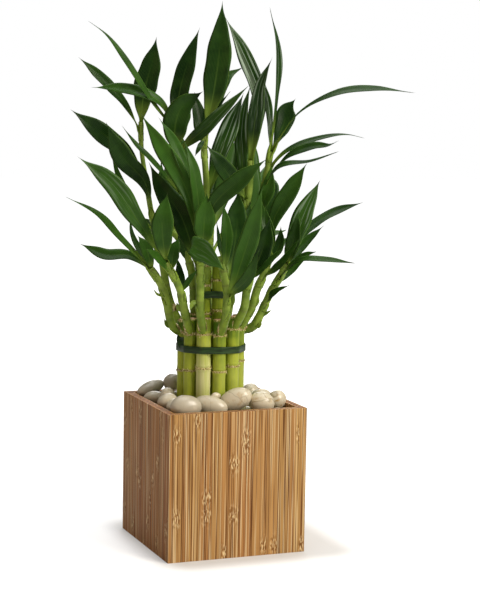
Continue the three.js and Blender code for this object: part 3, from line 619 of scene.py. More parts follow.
def leafBlade():
    look = leafLook
    material, tree, shader, place = startMaterial(
        "satinLeafCuticle", Roughness=look["roughness"], IOR=1.46)
    shader.inputs["Specular IOR Level"].default_value = 0.15
    read = {name: addNode(tree, "ShaderNodeAttribute", attribute_name=name).outputs["Fac"]
            for name in ("tone", "along", "across", "under", "veins", "paintedHighlight")}
    blotches = addNode(tree, "ShaderNodeTexNoise", {
        "Vector": place, "Scale": grainScale(look["blotchSize"]), "Detail": 3})
    vary = addNode(tree, "ShaderNodeMapRange", {
        0: blotches.outputs["Fac"], 1: 0.3, 2: 0.7, 3: -0.16, 4: 0.16})
    tone = addNode(tree, "ShaderNodeMath", {
        0: read["tone"], 1: vary.outputs[0]}, operation="ADD", use_clamp=True)
    upper = addNode(tree, "ShaderNodeMix", {
        0: tone.outputs[0], 6: linear(look["dark"]), 7: linear(look["bright"])}, data_type="RGBA")
    underShare = addNode(tree, "ShaderNodeMath", {0: read["under"], 1: 0.6}, operation="MULTIPLY")
    sided = addNode(tree, "ShaderNodeMix", {
        0: underShare.outputs[0], 6: upper.outputs[2], 7: linear(look["under"])}, data_type="RGBA")

    # A vein every veinSpacing mm; they draw together towards the tip.
    phase = addNode(tree, "ShaderNodeMath", {0: read["veins"], 1: 2 * math.pi}, operation="MULTIPLY")
    wave = addNode(tree, "ShaderNodeMath", {0: phase.outputs[0]}, operation="SINE")
    veinShare = addNode(tree, "ShaderNodeMapRange", {0: wave.outputs[0], 1: 0.3, 2: 1, 3: 0, 4: 0.1})
    veined = addNode(tree, "ShaderNodeMix", {
        0: veinShare.outputs[0], 6: sided.outputs[2], 7: linear(look["paleVeinAndEdgeHighlight"])}, data_type="RGBA")

    footShare = addNode(tree, "ShaderNodeMapRange", {
        0: read["along"], 1: 0.02, 2: 0.32, 3: 0.95, 4: 0}, interpolation_type="SMOOTHSTEP")
    footed = addNode(tree, "ShaderNodeMix", {
        0: footShare.outputs[0], 6: veined.outputs[2], 7: linear(look["foot"])}, data_type="RGBA")
    side = addNode(tree, "ShaderNodeMath", {0: read["across"]}, operation="ABSOLUTE")
    rib = addNode(tree, "ShaderNodeMapRange", {0: side.outputs[0], 1: 0.1, 2: 0.0, 3: 0, 4: 0.3})
    ribFade = addNode(tree, "ShaderNodeMapRange", {0: read["along"], 1: 0.7, 2: 0.2, 3: 0, 4: 1})
    ribShare = addNode(tree, "ShaderNodeMath", {
        0: rib.outputs[0], 1: ribFade.outputs[0]}, operation="MULTIPLY")
    ribbed = addNode(tree, "ShaderNodeMix", {
        0: ribShare.outputs[0], 6: footed.outputs[2], 7: linear(look["paleVeinAndEdgeHighlight"])}, data_type="RGBA")
    # A pale line along the blade's edge: a painted highlight.
    edge = addNode(tree, "ShaderNodeMapRange", {0: side.outputs[0], 1: 0.94, 2: 1, 3: 0, 4: 0.6})
    edgeHighlighted = addNode(tree, "ShaderNodeMix", {
        0: edge.outputs[0], 6: ribbed.outputs[2], 7: linear(look["paleVeinAndEdgeHighlight"])}, data_type="RGBA")

    # Silvery streaks of painted highlight over the blade.
    paled = addNode(tree, "ShaderNodeMix", {
        0: paintedHighlightStreaks(tree, read), 6: edgeHighlighted.outputs[2], 7: linear(look["paintedHighlight"])}, data_type="RGBA")
    tipShare = addNode(tree, "ShaderNodeMapRange", {0: read["along"], 1: 0.95, 2: 1, 3: 0, 4: 0.8})
    tipped = addNode(tree, "ShaderNodeMix", {
        0: tipShare.outputs[0], 6: paled.outputs[2], 7: linear(look["driedTip"])}, data_type="RGBA")

    height = addNode(tree, "ShaderNodeMath", {
        0: wave.outputs[0], 1: 0.5, 2: blotches.outputs["Fac"]}, operation="MULTIPLY_ADD")
    dress(tree, shader, tipped.outputs[2], height.outputs[0], strength=0.08, depth=0.3)
    return material


finish = {
    "strips": boardStrips(),
    "crossPly": crossPly(),
    "liner": linerPlastic(),
    "gravel": gravelGrains(),
    "stone": polishedStone(),
    "cane": caneSkin(),
    "cut": driedCut(),
    "dry": drySheath(),
    "tie": tieBand(),
    "stem": stemSkin(),
    "leaf": leafBlade(),
}
print("finishes ready")


# Pot: four mitred walls of three plies. A strip is its width, its tone from dark 0 to light 1, and
# the heights of its knuckles with the place of the knuckles across it, from -1 to 1. A knuckle at
# unseen lies below the wall. Only the front wall's outer strips are listed, the others are
# drawn by lot.
unseen = -40
pot = {
    "half": 63.5,
    "height": 128,
    "plies": (2.2, 3.1, 2.2),
    "glueGap": 0.2,
    "easedEdge": 0.2,
    "stripWidths": (6, 11),
    "drawnTones": (0.2, 0.75),
    # The left wall's strips draw darker tones than the others: painted shade on the side that the key light
    # misses.
    "paintedShadeTones": (0, 0.35),
    "coreTone": 0.5,
    "lowestKnuckle": -60,
    "knuckleGap": (60, 160),
    "knuckleAside": (-0.4, 0.4),
    "seed": 7,
}
frontStrips = [
    (3.5, 0.4, unseen, unseen, 0),
    (9, 0.62, 38, 109, -0.2),
    (5.5, 0.4, unseen, unseen, 0),
    (10, 0.66, 123, unseen, 0.6),
    (11, 0.36, 38, 54, 0.2),
    (8.2, 0.6, unseen, unseen, 0),
    (0.8, 1.5, unseen, unseen, 0),
    (6, 0.44, 5, unseen, 0),
    (11, 0.46, 83, 38, 0),
    (10.7, 0.3, 106, 97, 0),
    (8.3, 0.52, unseen, unseen, 0),
    (8, 0.5, 8, unseen, 0),
    (9, 0.56, 8, unseen, 0.2),
    (9.3, 0.66, unseen, unseen, 0),
    (6.2, 0.46, unseen, unseen, 0),
    (4.5, 0.8, 106, unseen, 0),
    (6, 0.62, 6, unseen, 0),
]


# Strips that fill a width. A last one that would be a sliver widens the one before it.
def drawnStrips(draw, width, tones):
    strips = []
    done = 0
    while done < width:
        step = min(draw.uniform(*pot["stripWidths"]), width - done)
        if width - done - step < pot["stripWidths"][0] / 2:
            step = width - done
        low = draw.uniform(pot["lowestKnuckle"], pot["height"])
        tone = draw.uniform(*tones)
        high = low + draw.uniform(*pot["knuckleGap"])
        strips.append((step, tone, low, high, draw.uniform(*pot["knuckleAside"])))
        done += step
    return strips


# One cube for each strip, mitred by drawing its ends in as the wall gets deeper.
def stripTree():
    tree, given = startTree("mitredStrips", {
        "Mitre": "Float", "Face Finish": "Material", "Core Finish": "Material"})
    cube = addNode(tree, "GeometryNodeMeshCube", {0: (1, 1, 1)})
    corner = addNode(tree, "GeometryNodeInputPosition")
    split = addNode(tree, "ShaderNodeSeparateXYZ", {0: corner.outputs[0]})
    across = addNode(tree, "ShaderNodeMath", {0: split.outputs[0], 1: 2}, operation="MULTIPLY")
    marked = addNode(tree, "GeometryNodeStoreNamedAttribute", {
        "Geometry": cube.outputs["Mesh"], "Name": "across", "Value": across.outputs[0]})
    size = addNode(tree, "GeometryNodeInputNamedAttribute", {"Name": "size"}, data_type="FLOAT_VECTOR")
    laid = addNode(tree, "GeometryNodeInstanceOnPoints", {
        "Points": given["Geometry"], "Instance": marked.outputs[0], "Scale": size.outputs["Attribute"]})
    real = addNode(tree, "GeometryNodeRealizeInstances", {0: laid.outputs[0]})
    place = addNode(tree, "GeometryNodeInputPosition")
    parts = addNode(tree, "ShaderNodeSeparateXYZ", {0: place.outputs[0]})
    reach = addNode(tree, "ShaderNodeMath", {
        0: parts.outputs[1], 1: -1, 2: given["Mitre"]}, operation="MULTIPLY_ADD")
    least = addNode(tree, "ShaderNodeMath", {0: reach.outputs[0], 1: -1}, operation="MULTIPLY")
    kept = addNode(tree, "ShaderNodeClamp", {0: parts.outputs[0], 1: least.outputs[0], 2: reach.outputs[0]})
    joined = addNode(tree, "ShaderNodeCombineXYZ", {
        0: kept.outputs[0], 1: parts.outputs[1], 2: parts.outputs[2]})
    cutEnds = addNode(tree, "GeometryNodeSetPosition", {
        "Geometry": real.outputs[0], "Position": joined.outputs[0]})
    faced = addNode(tree, "GeometryNodeSetMaterial", {
        "Geometry": cutEnds.outputs[0], "Material": given["Face Finish"]})
    core = addNode(tree, "GeometryNodeInputNamedAttribute", {"Name": "core"}, data_type="FLOAT")
    isCore = addNode(tree, "FunctionNodeCompare", {
        0: core.outputs["Attribute"], 1: 0.5}, operation="GREATER_THAN")
    finished = addNode(tree, "GeometryNodeSetMaterial", {
        "Geometry": faced.outputs[0], "Selection": isCore.outputs[0], "Material": given["Core Finish"]})
    addNode(tree, "NodeGroupOutput", {0: finished.outputs[0]})
    return tree


def makeWall(name, node, quarterTurns, tree):
    draw = random.Random(pot["seed"] + quarterTurns)
    # The left wall takes the darker tones: painted shade.
    tones = pot["paintedShadeTones"] if name == "wallLeft" else pot["drawnTones"]
    outer = frontStrips if name == "wallFront" else drawnStrips(draw, 2 * pot["half"], tones)
    middles = []
    kept = {"size": [], "tone": [], "knuckles": [], "core": []}
    face = -pot["half"]
    for ply, depth in enumerate(pot["plies"]):
        reach = -face
        if ply == 0:
            strips = outer
        elif ply == 1:
            strips = [(2 * reach, pot["coreTone"], unseen, unseen, 0)]
        else:
            strips = drawnStrips(draw, 2 * reach, tones)
        start = -reach
        for width, tone, low, high, side in strips:
            middles.append(Vector((start + width / 2, face + depth / 2, pot["height"] / 2)) * mm)
            kept["size"].append(Vector((width, depth, pot["height"])) * mm)
            kept["tone"].append(tone)
            kept["knuckles"].append((low * mm, high * mm, side))
            kept["core"].append(float(ply == 1))
            start += width
        face += depth
    points = meshOf(name, middles, [], [], kept)
    piece = runTree(name, points, tree, {
        "Mitre": -pot["glueGap"] / 2 * math.sqrt(2) * mm,
        "Face Finish": finish["strips"],
        "Core Finish": finish["crossPly"],
    }, pot["easedEdge"] * mm)
    piece.data.transform(Matrix.Rotation(quarterTurns * math.pi / 2, 4, "Z"))
    settle(piece, "bamboo_board", node)


stripsTree = stripTree()
for turns, wallName in enumerate(("Front", "Right", "Back", "Left")):
    makeWall("wall" + wallName, "wall_" + wallName.lower(), turns, stripsTree)

nodes["base_board"].data.materials.clear()
nodes["base_board"].data.materials.append(finish["crossPly"])
print("pot built")


# Liner and filling keep their solids. Loose grains lie on the filling between the pebbles.
gravel = {
    "top": 121,
    "topMargin": 0.5,
    "grain": 1.7,
    "spacing": 2.6,
    "density": 3e5,
    "smallest": (0.6, 0.6, 0.4),
    "largest": (1.3, 1, 0.9),
    "turn": 6.28,
    "seed": 11,
}


def grainTree():
    tree, given = startTree("looseGrains", {
        "Grain": "Float", "Spacing": "Float", "Seed": "Int", "Finish": "Material"})
    spots = addNode(tree, "GeometryNodeDistributePointsOnFaces", {
        "Mesh": given["Geometry"], "Distance Min": given["Spacing"], "Density Max": gravel["density"],
        "Seed": given["Seed"]}, distribute_method="POISSON")
    ball = addNode(tree, "GeometryNodeMeshIcoSphere", {"Radius": given["Grain"], "Subdivisions": 2})
    turn = addNode(tree, "FunctionNodeRandomValue", {
        0: (0, 0, 0), 1: [gravel["turn"]] * 3, "Seed": given["Seed"]}, data_type="FLOAT_VECTOR")
    size = addNode(tree, "FunctionNodeRandomValue", {
        0: gravel["smallest"], 1: gravel["largest"], "Seed": given["Seed"]}, data_type="FLOAT_VECTOR")
    laid = addNode(tree, "GeometryNodeInstanceOnPoints", {
        "Points": spots.outputs["Points"], "Instance": ball.outputs["Mesh"],
        "Rotation": turn.outputs[0], "Scale": size.outputs[0]})
    return endTree(tree, laid, given["Finish"])


def makeGrains():
    solid = nodes["gravel_filling"].data
    lowest = (gravel["top"] - gravel["topMargin"]) * mm
    topFaces = [face for face in solid.polygons if face.normal.z > 0.9 and face.center.z > lowest]
    used = sorted({corner for face in topFaces for corner in face.vertices})
    index = {corner: k for k, corner in enumerate(used)}
    faces = [[index[corner] for corner in face.vertices] for face in topFaces]
    top = meshOf("grains", [solid.vertices[corner].co for corner in used], [], faces)
    piece = runTree("looseGrains", top, grainTree(), {
        "Grain": gravel["grain"] * mm, "Spacing": gravel["spacing"] * mm,
        "Seed": gravel["seed"], "Finish": finish["gravel"]})
    smooth(piece)
    settle(piece, "gravel")


for nodeName, kind in (("liner", "liner"), ("gravel_filling", "gravel")):
    nodes[nodeName].data.materials.clear()
    nodes[nodeName].data.materials.append(finish[kind])
makeGrains()
print("liner and gravel dressed")


# Pebbles, in the pot's own directions: place x, y, underside z, length, depth, height, heading and
# lean as in the solids, then tone from grey-olive 0 to cream 1, and how strongly it is stained.
pebbles = [
    (-42.9, -45.8, 121.4, 26.6, 17, 20, -6, 0, 0.42, 0.1),
    (-17.9, -41, 121.2, 30, 14.6, 17.2, -26, -13, 0.72, 0.25),
    (5.4, -39.6, 123.6, 30.5, 15.4, 19, -18, 24, 0.88, 0.5),
    (29, -43.4, 121.4, 22, 16, 19.2, -14, -6, 0.85, 0.85),
    (48.2, -32.8, 123, 16.4, 14, 16.4, 10, -8, 0.85, 1),
    (46, 25.4, 121.4, 15.5, 15, 14.8, 10, 0, 0.6, 0.3),
    (-9.4, -31, 133.2, 8.6, 5, 6.6, 0, 0, 0.95, 0.1),
    (-46.4, -10, 122.6, 18.5, 16, 14.5, -10, 10, 0.6, 0.2),
    (-40.6, 8, 121.4, 14, 13, 17.8, 10, 0, 0.6, 0.2),
    (-44.8, 28.4, 121.4, 20.5, 13.5, 11.5, -10, -2, 0.45, 0.1),
    (-23.6, 43.4, 130, 16, 15, 15.6, 0, 14, 0.3, 0),
    (-43.6, 46, 125.7, 25, 15, 12.6, 4, 18, 0.35, 0),
    (-15, 46, 121.4, 19, 16, 7.8, -5, 0, 0.4, 0.2),
    (8.6, 46, 121.5, 21, 17, 12, 8, 0, 0.7, 0.4),
    (27.6, 45.2, 121.6, 15, 18, 12, 0, 0, 0.9, 0.1),
    (45, 44.8, 121.4, 19, 17, 10.5, 0, 0, 0.6, 0.5),
    (47, 12, 121.6, 15, 10.4, 10.5, 5, 0, 0.8, 0.2),
    (46.2, -2, 122.3, 18, 14, 13.4, -12, -6, 0.7, 0.6),
    (46.4, -18.8, 121.4, 17.5, 12, 11, 0, 0, 0.75, 0.4),
    (-44.8, -27, 121.4, 19, 13.5, 14, 20, 0, 0.65, 0.1),
]
stoneShape = {
    "levels": 5,
    "fullness": 1.03,
    "swelling": 0.04,
    "unevenness": 0.06,
    "unevenSize": 0.9,
}


def makePebble(index, row):
    x, y, underside, length, depth, height, heading, lean, tone, stain = row
    tilt = math.radians(lean)
    drop = math.hypot(length * math.sin(tilt), height * math.cos(tilt)) / 2
    ball = bpy.data.meshes.new("ball")
    shape = bmesh.new()
    bmesh.ops.create_icosphere(shape, subdivisions=stoneShape["levels"], radius=1)
    for corner in shape.verts:
        place = corner.co.copy()
        swell = math.sin(3 * place.x + 2 * place.y + index)
        swelling = stoneShape["fullness"] + stoneShape["swelling"] * swell
        lump = noise.noise(place * stoneShape["unevenSize"] + Vector((index, 0, 0)))
        lump *= stoneShape["unevenness"]
        corner.co = Vector((place.x * swelling, place.y * swelling, place.z)) * (1 + lump)
    shape.to_mesh(ball)
    shape.free()
    ball.transform(
        Matrix.Translation(Vector((x, y, underside + drop)) * mm)
        @ Matrix.Rotation(math.radians(heading), 4, "Z")
        @ Matrix.Rotation(-tilt, 4, "Y")
        @ Matrix.Diagonal(Vector((length / 2, depth / 2, height / 2, 1 / mm)) * mm))
    for label, value in (("tone", tone), ("stain", stain)):
        layer = ball.attributes.new(label, "FLOAT", "POINT")
        layer.data.foreach_set("value", [value] * len(ball.vertices))
    ball.materials.append(finish["stone"])
    piece = makePiece(f"pebble{index + 1:02d}", ball)
    smooth(piece)
    settle(piece, "pebble", f"pebble_{index + 1:02d}")


for number, pebbleRow in enumerate(pebbles):
    makePebble(number, pebbleRow)
print("pebbles laid")


# A smooth line through points, at a share of the way: each span's bend follows the root of the gaps.
def splinePoint(points, share):
    last = len(points) - 1
    span = min(int(share * last), last - 1)
    part = share * last - span
    here, after = points[span], points[span + 1]
    before = points[span - 1] if span > 0 else here * 2 - after
    beyond = points[span + 2] if span + 2 <= last else after * 2 - here
    gaps = [max(1e-6, (b - a).length) ** 0.5 for a, b in ((before, here), (here, after), (after, beyond))]
    leave = (here - before) / gaps[0] - (after - before) / (gaps[0] + gaps[1]) + (after - here) / gaps[1]
    arrive = (after - here) / gaps[1] - (beyond - here) / (gaps[1] + gaps[2]) + (beyond - after) / gaps[2]
    leave, arrive = leave * gaps[1], arrive * gaps[1]
    square, cube = part * part, part ** 3
    return (here * (2 * cube - 3 * square + 1) + leave * (cube - 2 * square + part)
            + after * (3 * square - 2 * cube) + arrive * (cube - square))


# A line through a few points, measured along its length.
class MeasuredLine:
    def __init__(self, points, steps=200):
        self.places = [splinePoint(points, k / steps) for k in range(steps + 1)]
        self.reached = [0.0]
        for start, end in zip(self.places, self.places[1:]):
            self.reached.append(self.reached[-1] + (end - start).length)
        self.length = self.reached[-1]

    def at(self, share):
        target = min(1, max(0, share)) * self.length
        k = max(1, next((k for k, d in enumerate(self.reached) if d >= target), len(self.reached) - 1))
        gap = self.reached[k] - self.reached[k - 1]
        part = (target - self.reached[k - 1]) / gap if gap else 0
        return self.places[k - 1].lerp(self.places[k], part)

    def heading(self, share):
        step = 0.01
        return (self.at(share + step) - self.at(share - step)).normalized()


stems = {
    "rootRadius": 4,
    "leastRadius": 2,
    "taper": 0.012,
    "sides": 18,
    "step": 1.5,
    "leastSteps": 12,
    "sheathStep": 0.35,
    "footMargin": 0.002,
    "leastSpan": 0.02,
    "ringReach": 0.6,
    "ringGap": 24,
}


# A stem thins towards its top, and swells a little from each leaf's foot up to the next.
def stemRadius(share, feet, length):
    radius = max(stems["rootRadius"] - stems["taper"] * length * share, stems["leastRadius"])
    start = share - stems["footMargin"]
    nextFoot = min([foot for foot in feet if foot >= start], default=1)
    lastFoot = max([foot for foot in feet if foot < start], default=0)
    risen = (share - lastFoot) / max(stems["leastSpan"], nextFoot - lastFoot)
    return radius + stems["sheathStep"] * (min(1, risen) - 0.5)


# A round stem swept along a line, thick as the line says.
def stemTree():
    tree, given = startTree("stemAlongLine", {"Sides": "Int", "Finish": "Material"})
    line = addNode(tree, "GeometryNodeMeshToCurve", {"Mesh": given["Geometry"]})
    thick = addNode(tree, "GeometryNodeInputNamedAttribute", {"Name": "thick"}, data_type="FLOAT")
    outline = addNode(tree, "GeometryNodeCurvePrimitiveCircle", {
        "Resolution": given["Sides"], "Radius": 1.0})
    swept = addNode(tree, "GeometryNodeCurveToMesh", {
        "Curve": line.outputs[0], "Profile Curve": outline.outputs[0],
        "Scale": thick.outputs["Attribute"], "Fill Caps": True})
    return endTree(tree, swept, given["Finish"])


# Rings where leaves sit, and old leaf scars below them at even steps.
def ringMark(reached, feet):
    lowest = min(feet)
    scars = [lowest - stems["ringGap"] * k for k in range(1, int(lowest / stems["ringGap"]) + 1)]
    return max(bell(reached - place, stems["ringReach"]) for place in feet + scars)


def makeStem(shoot, line, feet, tree):
    count = max(stems["leastSteps"], int(line.length / stems["step"]))
    shares = [k / count for k in range(count + 1)]
    kept = {
        "thick": [stemRadius(share, feet, line.length) * mm for share in shares],
        "along": shares,
        "ring": [ringMark(share * line.length, [foot * line.length for foot in feet]) for share in shares],
    }
    places = [plantToPot @ line.at(share) for share in shares]
    mesh = meshOf(shoot["name"], places, [(k, k + 1) for k in range(count)], [], kept)
    piece = runTree("stem" + shoot["name"], mesh, tree, {"Sides": stems["sides"], "Finish": finish["stem"]})
    smooth(piece)
    settle(piece, "leaf")


# Leaves: the midrib runs from the stem through its points to the tip, and the two halves rise from
# it by the fold. The foot of each leaf wraps its stem.
leaves = {
    "stations": 34,
    "points": 9,
    "thickness": 0.5,
    "footShare": 0.16,
    "footEnd": 0.3,
    "swellingPower": 1.05,
    "tipThinning": 0.75,
    "tipReach": 0.12,
    "foldInMiddle": 12,
    "foldAtFoot": 46,
    "footFoldReach": 0.16,
    "wrapReach": 0.07,
    "wrapTurn": 115,
    "risePower": 1.25,
    "lensPower": 3,
    "sheathLength": 7,
    "sheathShare": 0.6,
    "sheathTurn": 30,
    "sheathGap": 0.25,
    "wave": 0.6,
    "waves": (1.2, 2.2),
    "wavyWidth": 14,
    "edgeRipple": 0.045,
    "ripples": (2, 4),
    "phases": (0, 6.28),
    "seed": 21,
}


# The blade narrows to a slim foot, and its last stretch is drawn out into a thin tip.
def bladeHalfWidth(t, width, widest):
    towardsWidest = t ** (math.log(0.5) / math.log(widest))
    swelling = math.sin(math.pi * towardsWidest) ** leaves["swellingPower"]
    thinning = 1 - leaves["tipThinning"] * bell(1 - t, leaves["tipReach"])
    foot = leaves["footShare"] if t < leaves["footEnd"] else 0
    return width / 2 * max(swelling * thinning, foot)


# The two halves are folded up most at the foot.
def foldAngle(t):
    middle, foot = leaves["foldInMiddle"], leaves["foldAtFoot"]
    return math.radians(middle + (foot - middle) * bell(t, leaves["footFoldReach"]))


# The direction that a blade's upper side faces at its middle, rolled from facing the viewer.
def openSide(root, tip, turn):
    chord = (tip - root).normalized()
    viewer = Vector((0, -1, 0))
    facing = (viewer - chord * viewer.dot(chord)).normalized()
    upward = chord.cross(facing)
    if upward.z < 0:
        upward.negate()
    roll = math.radians(turn)
    return facing * math.cos(roll) + upward * math.sin(roll)


# The direction that a vector has once what runs along a line is taken out of it.
def squared(vector, along):
    return (vector - along * vector.dot(along)).normalized()


# Leaves that are gathered in one mesh, with what their finish reads kept at each corner.
class Blades:
    def __init__(self):
        self.places, self.faces = [], []
        self.kept = {name: [] for name in ("tone", "along", "across", "under", "veins", "paintedHighlight")}

    def keep(self, place, **marks):
        self.places.append(plantToPot @ place)
        for name, value in marks.items():
            self.kept[name].append(float(value))
        return len(self.places) - 1

    # One closed leaf: rings of corners round a thin lens, from the sheath to the tip.
    def addLeaf(self, line, feet, row, draw):
        at, path, width, turn, widest, tone = row[:6]
        paintedHighlight = row[6] if len(row) > 6 else 0
        root = line.at(at)
        midrib = MeasuredLine([root] + [Vector(point) for point in path])
        tip = Vector(path[-1])
        opened = openSide(root, tip, turn)
        phase, waves = draw.uniform(*leaves["phases"]), draw.uniform(*leaves["waves"])
        ripples = [(draw.uniform(*leaves["phases"]), draw.uniform(*leaves["ripples"])) for edge in range(2)]
        wavy = leaves["wave"] * min(1, width / leaves["wavyWidth"])
        sheath = min(leaves["sheathLength"], at * line.length * leaves["sheathShare"])
        shares = [k / leaves["stations"] for k in range(leaves["stations"])]
        steps = [(-1, 0.0), (-0.5, 0.0)] + [(0, s) for s in shares]
        rings = []
        count = leaves["points"]
        sides = [2 * k / (count - 1) - 1 for k in range(count)]
        for down, t in steps:
            stemShare = at + down * sheath / line.length
            stemAlong = line.heading(stemShare)
            if down:
                centre, wrap = line.at(stemShare), 1
                along = stemAlong
            else:
                wrap = bell(t, leaves["wrapReach"])
                centre = midrib.at(t)
                along = midrib.heading(t).lerp(stemAlong, wrap).normalized()
            normal = squared(opened, along)
            across = along.cross(normal)
            radius = stemRadius(stemShare, feet, line.length) + leaves["sheathGap"]
            half = bladeHalfWidth(t, width, widest)
            fold = foldAngle(t)
            wave = wavy * math.sin(2 * math.pi * waves * t + phase)
            upper, lower = [], []
            for side in sides:
                angle = side * math.radians(leaves["wrapTurn"] - leaves["sheathTurn"] * down)
                outward = across * math.sin(angle) - normal * math.cos(angle)
                rise = abs(side) ** leaves["risePower"]
                rippleStart, ripplePace = ripples[side > 0]
                ripple = 1 + leaves["edgeRipple"] * math.sin(2 * math.pi * ripplePace * t + rippleStart)
                flat = centre + across * side * half * ripple * math.cos(fold)
                flat += normal * (rise * half * math.sin(fold) + wave * side * abs(side) * (1 - wrap))
                place = flat.lerp(centre + outward * radius, wrap)
                facing = normal.lerp(-outward, wrap).normalized()
                thin = leaves["thickness"] / 2 * (1 - abs(side) ** leaves["lensPower"])
                marks = {"tone": tone, "along": t, "across": side, "paintedHighlight": paintedHighlight,
                         "veins": side * width / 2 / leafLook["veinSpacing"]}
                if abs(side) == 1:
                    upper.append(self.keep(place, under=0.5, **marks))
                else:
                    upper.append(self.keep(place + facing * thin, under=0, **marks))
                    lower.append(self.keep(place - facing * thin, under=1, **marks))
            rings.append(upper + lower[::-1])
        self.addFaces(rings, self.keep(tip, tone=tone, along=1, across=0, under=0.5, veins=0, paintedHighlight=0))

    # Faces from ring to ring, from the last ring to the tip, and across the first ring.
    def addFaces(self, rings, point):
        around = len(rings[0])
        for low, high in zip(rings, rings[1:]):
            for k in range(around):
                after = (k + 1) % around
                self.faces.append((low[k], low[after], high[after], high[k]))
        for k in range(around):
            self.faces.append((rings[-1][k], rings[-1][(k + 1) % around], point))
        first = rings[0]
        last = leaves["points"] - 1
        for k in range(last):
            lowerHere = first[k] if k == 0 else first[around - k]
            lowerNext = first[k + 1] if k + 1 == last else first[around - k - 1]
            corners = []
            for corner in (first[k], lowerHere, lowerNext, first[k + 1]):
                if corner not in corners:
                    corners.append(corner)
            self.faces.append(tuple(corners))

    def makePiece(self, name, material):
        mesh = meshOf(name, self.places, [], self.faces, self.kept)
        mesh.materials.append(material)
        piece = makePiece(name, mesh)
        smooth(piece)
        return piece


# The picture that the plant was measured on, as in the solids: its middle and focal length in pixels,
# how far its camera looks down and is rolled, and where the pot's foot lies from it, in millimetres.
picture = {
    "middle": (240, 300),
    "focalLength": 1622.2774,
    "dip": math.radians(6.4031),
    "roll": math.radians(0.98458),
    "right": -22.35214,
    "ahead": 1462.60151,
    "up": -216.22853,
    "highestLeafFoot": 0.98,
}


# The place in the plant that shows at a pixel, depth mm behind the pot's middle.
def placeSeenAt(across, down, depth, digits=0):
    right, below = across - picture["middle"][0], down - picture["middle"][1]
    rollCos, rollSin = math.cos(picture["roll"]), math.sin(picture["roll"])
    dipCos, dipSin = math.cos(picture["dip"]), math.sin(picture["dip"])
    level = right * rollCos + below * rollSin
    slope = (right * rollSin - below * rollCos) / picture["focalLength"]
    reach = dipCos * depth + picture["ahead"]
    height = (slope * reach - dipSin * depth - picture["up"]) / (dipCos + slope * dipSin)
    ahead = reach - dipSin * height
    x = level * ahead / picture["focalLength"] - picture["right"]
    return round(x, digits), round(depth, digits), round(height, digits)


def pixelOf(place):
    x, y, z = place
    rollCos, rollSin = math.cos(picture["roll"]), math.sin(picture["roll"])
    dipCos, dipSin = math.cos(picture["dip"]), math.sin(picture["dip"])
    ahead = dipCos * y - dipSin * z + picture["ahead"]
    up = dipSin * y + dipCos * z + picture["up"]
    level = picture["focalLength"] * (x + picture["right"]) / ahead
    drop = -picture["focalLength"] * up / ahead
    across, down = rollCos * level - rollSin * drop, rollSin * level + rollCos * drop
    return picture["middle"][0] + across, picture["middle"][1] + down


# The share of a stem's length at which it passes nearest to a pixel, to a whole hundredth and never
# past the highest foot that a leaf may have.
def shareNearest(line, pixel):
    gaps = [math.dist(pixelOf(place), pixel) for place in line.places]
    share = line.reached[gaps.index(min(gaps))] / line.length
    return min(picture["highestLeafFoot"], round(share, 2))
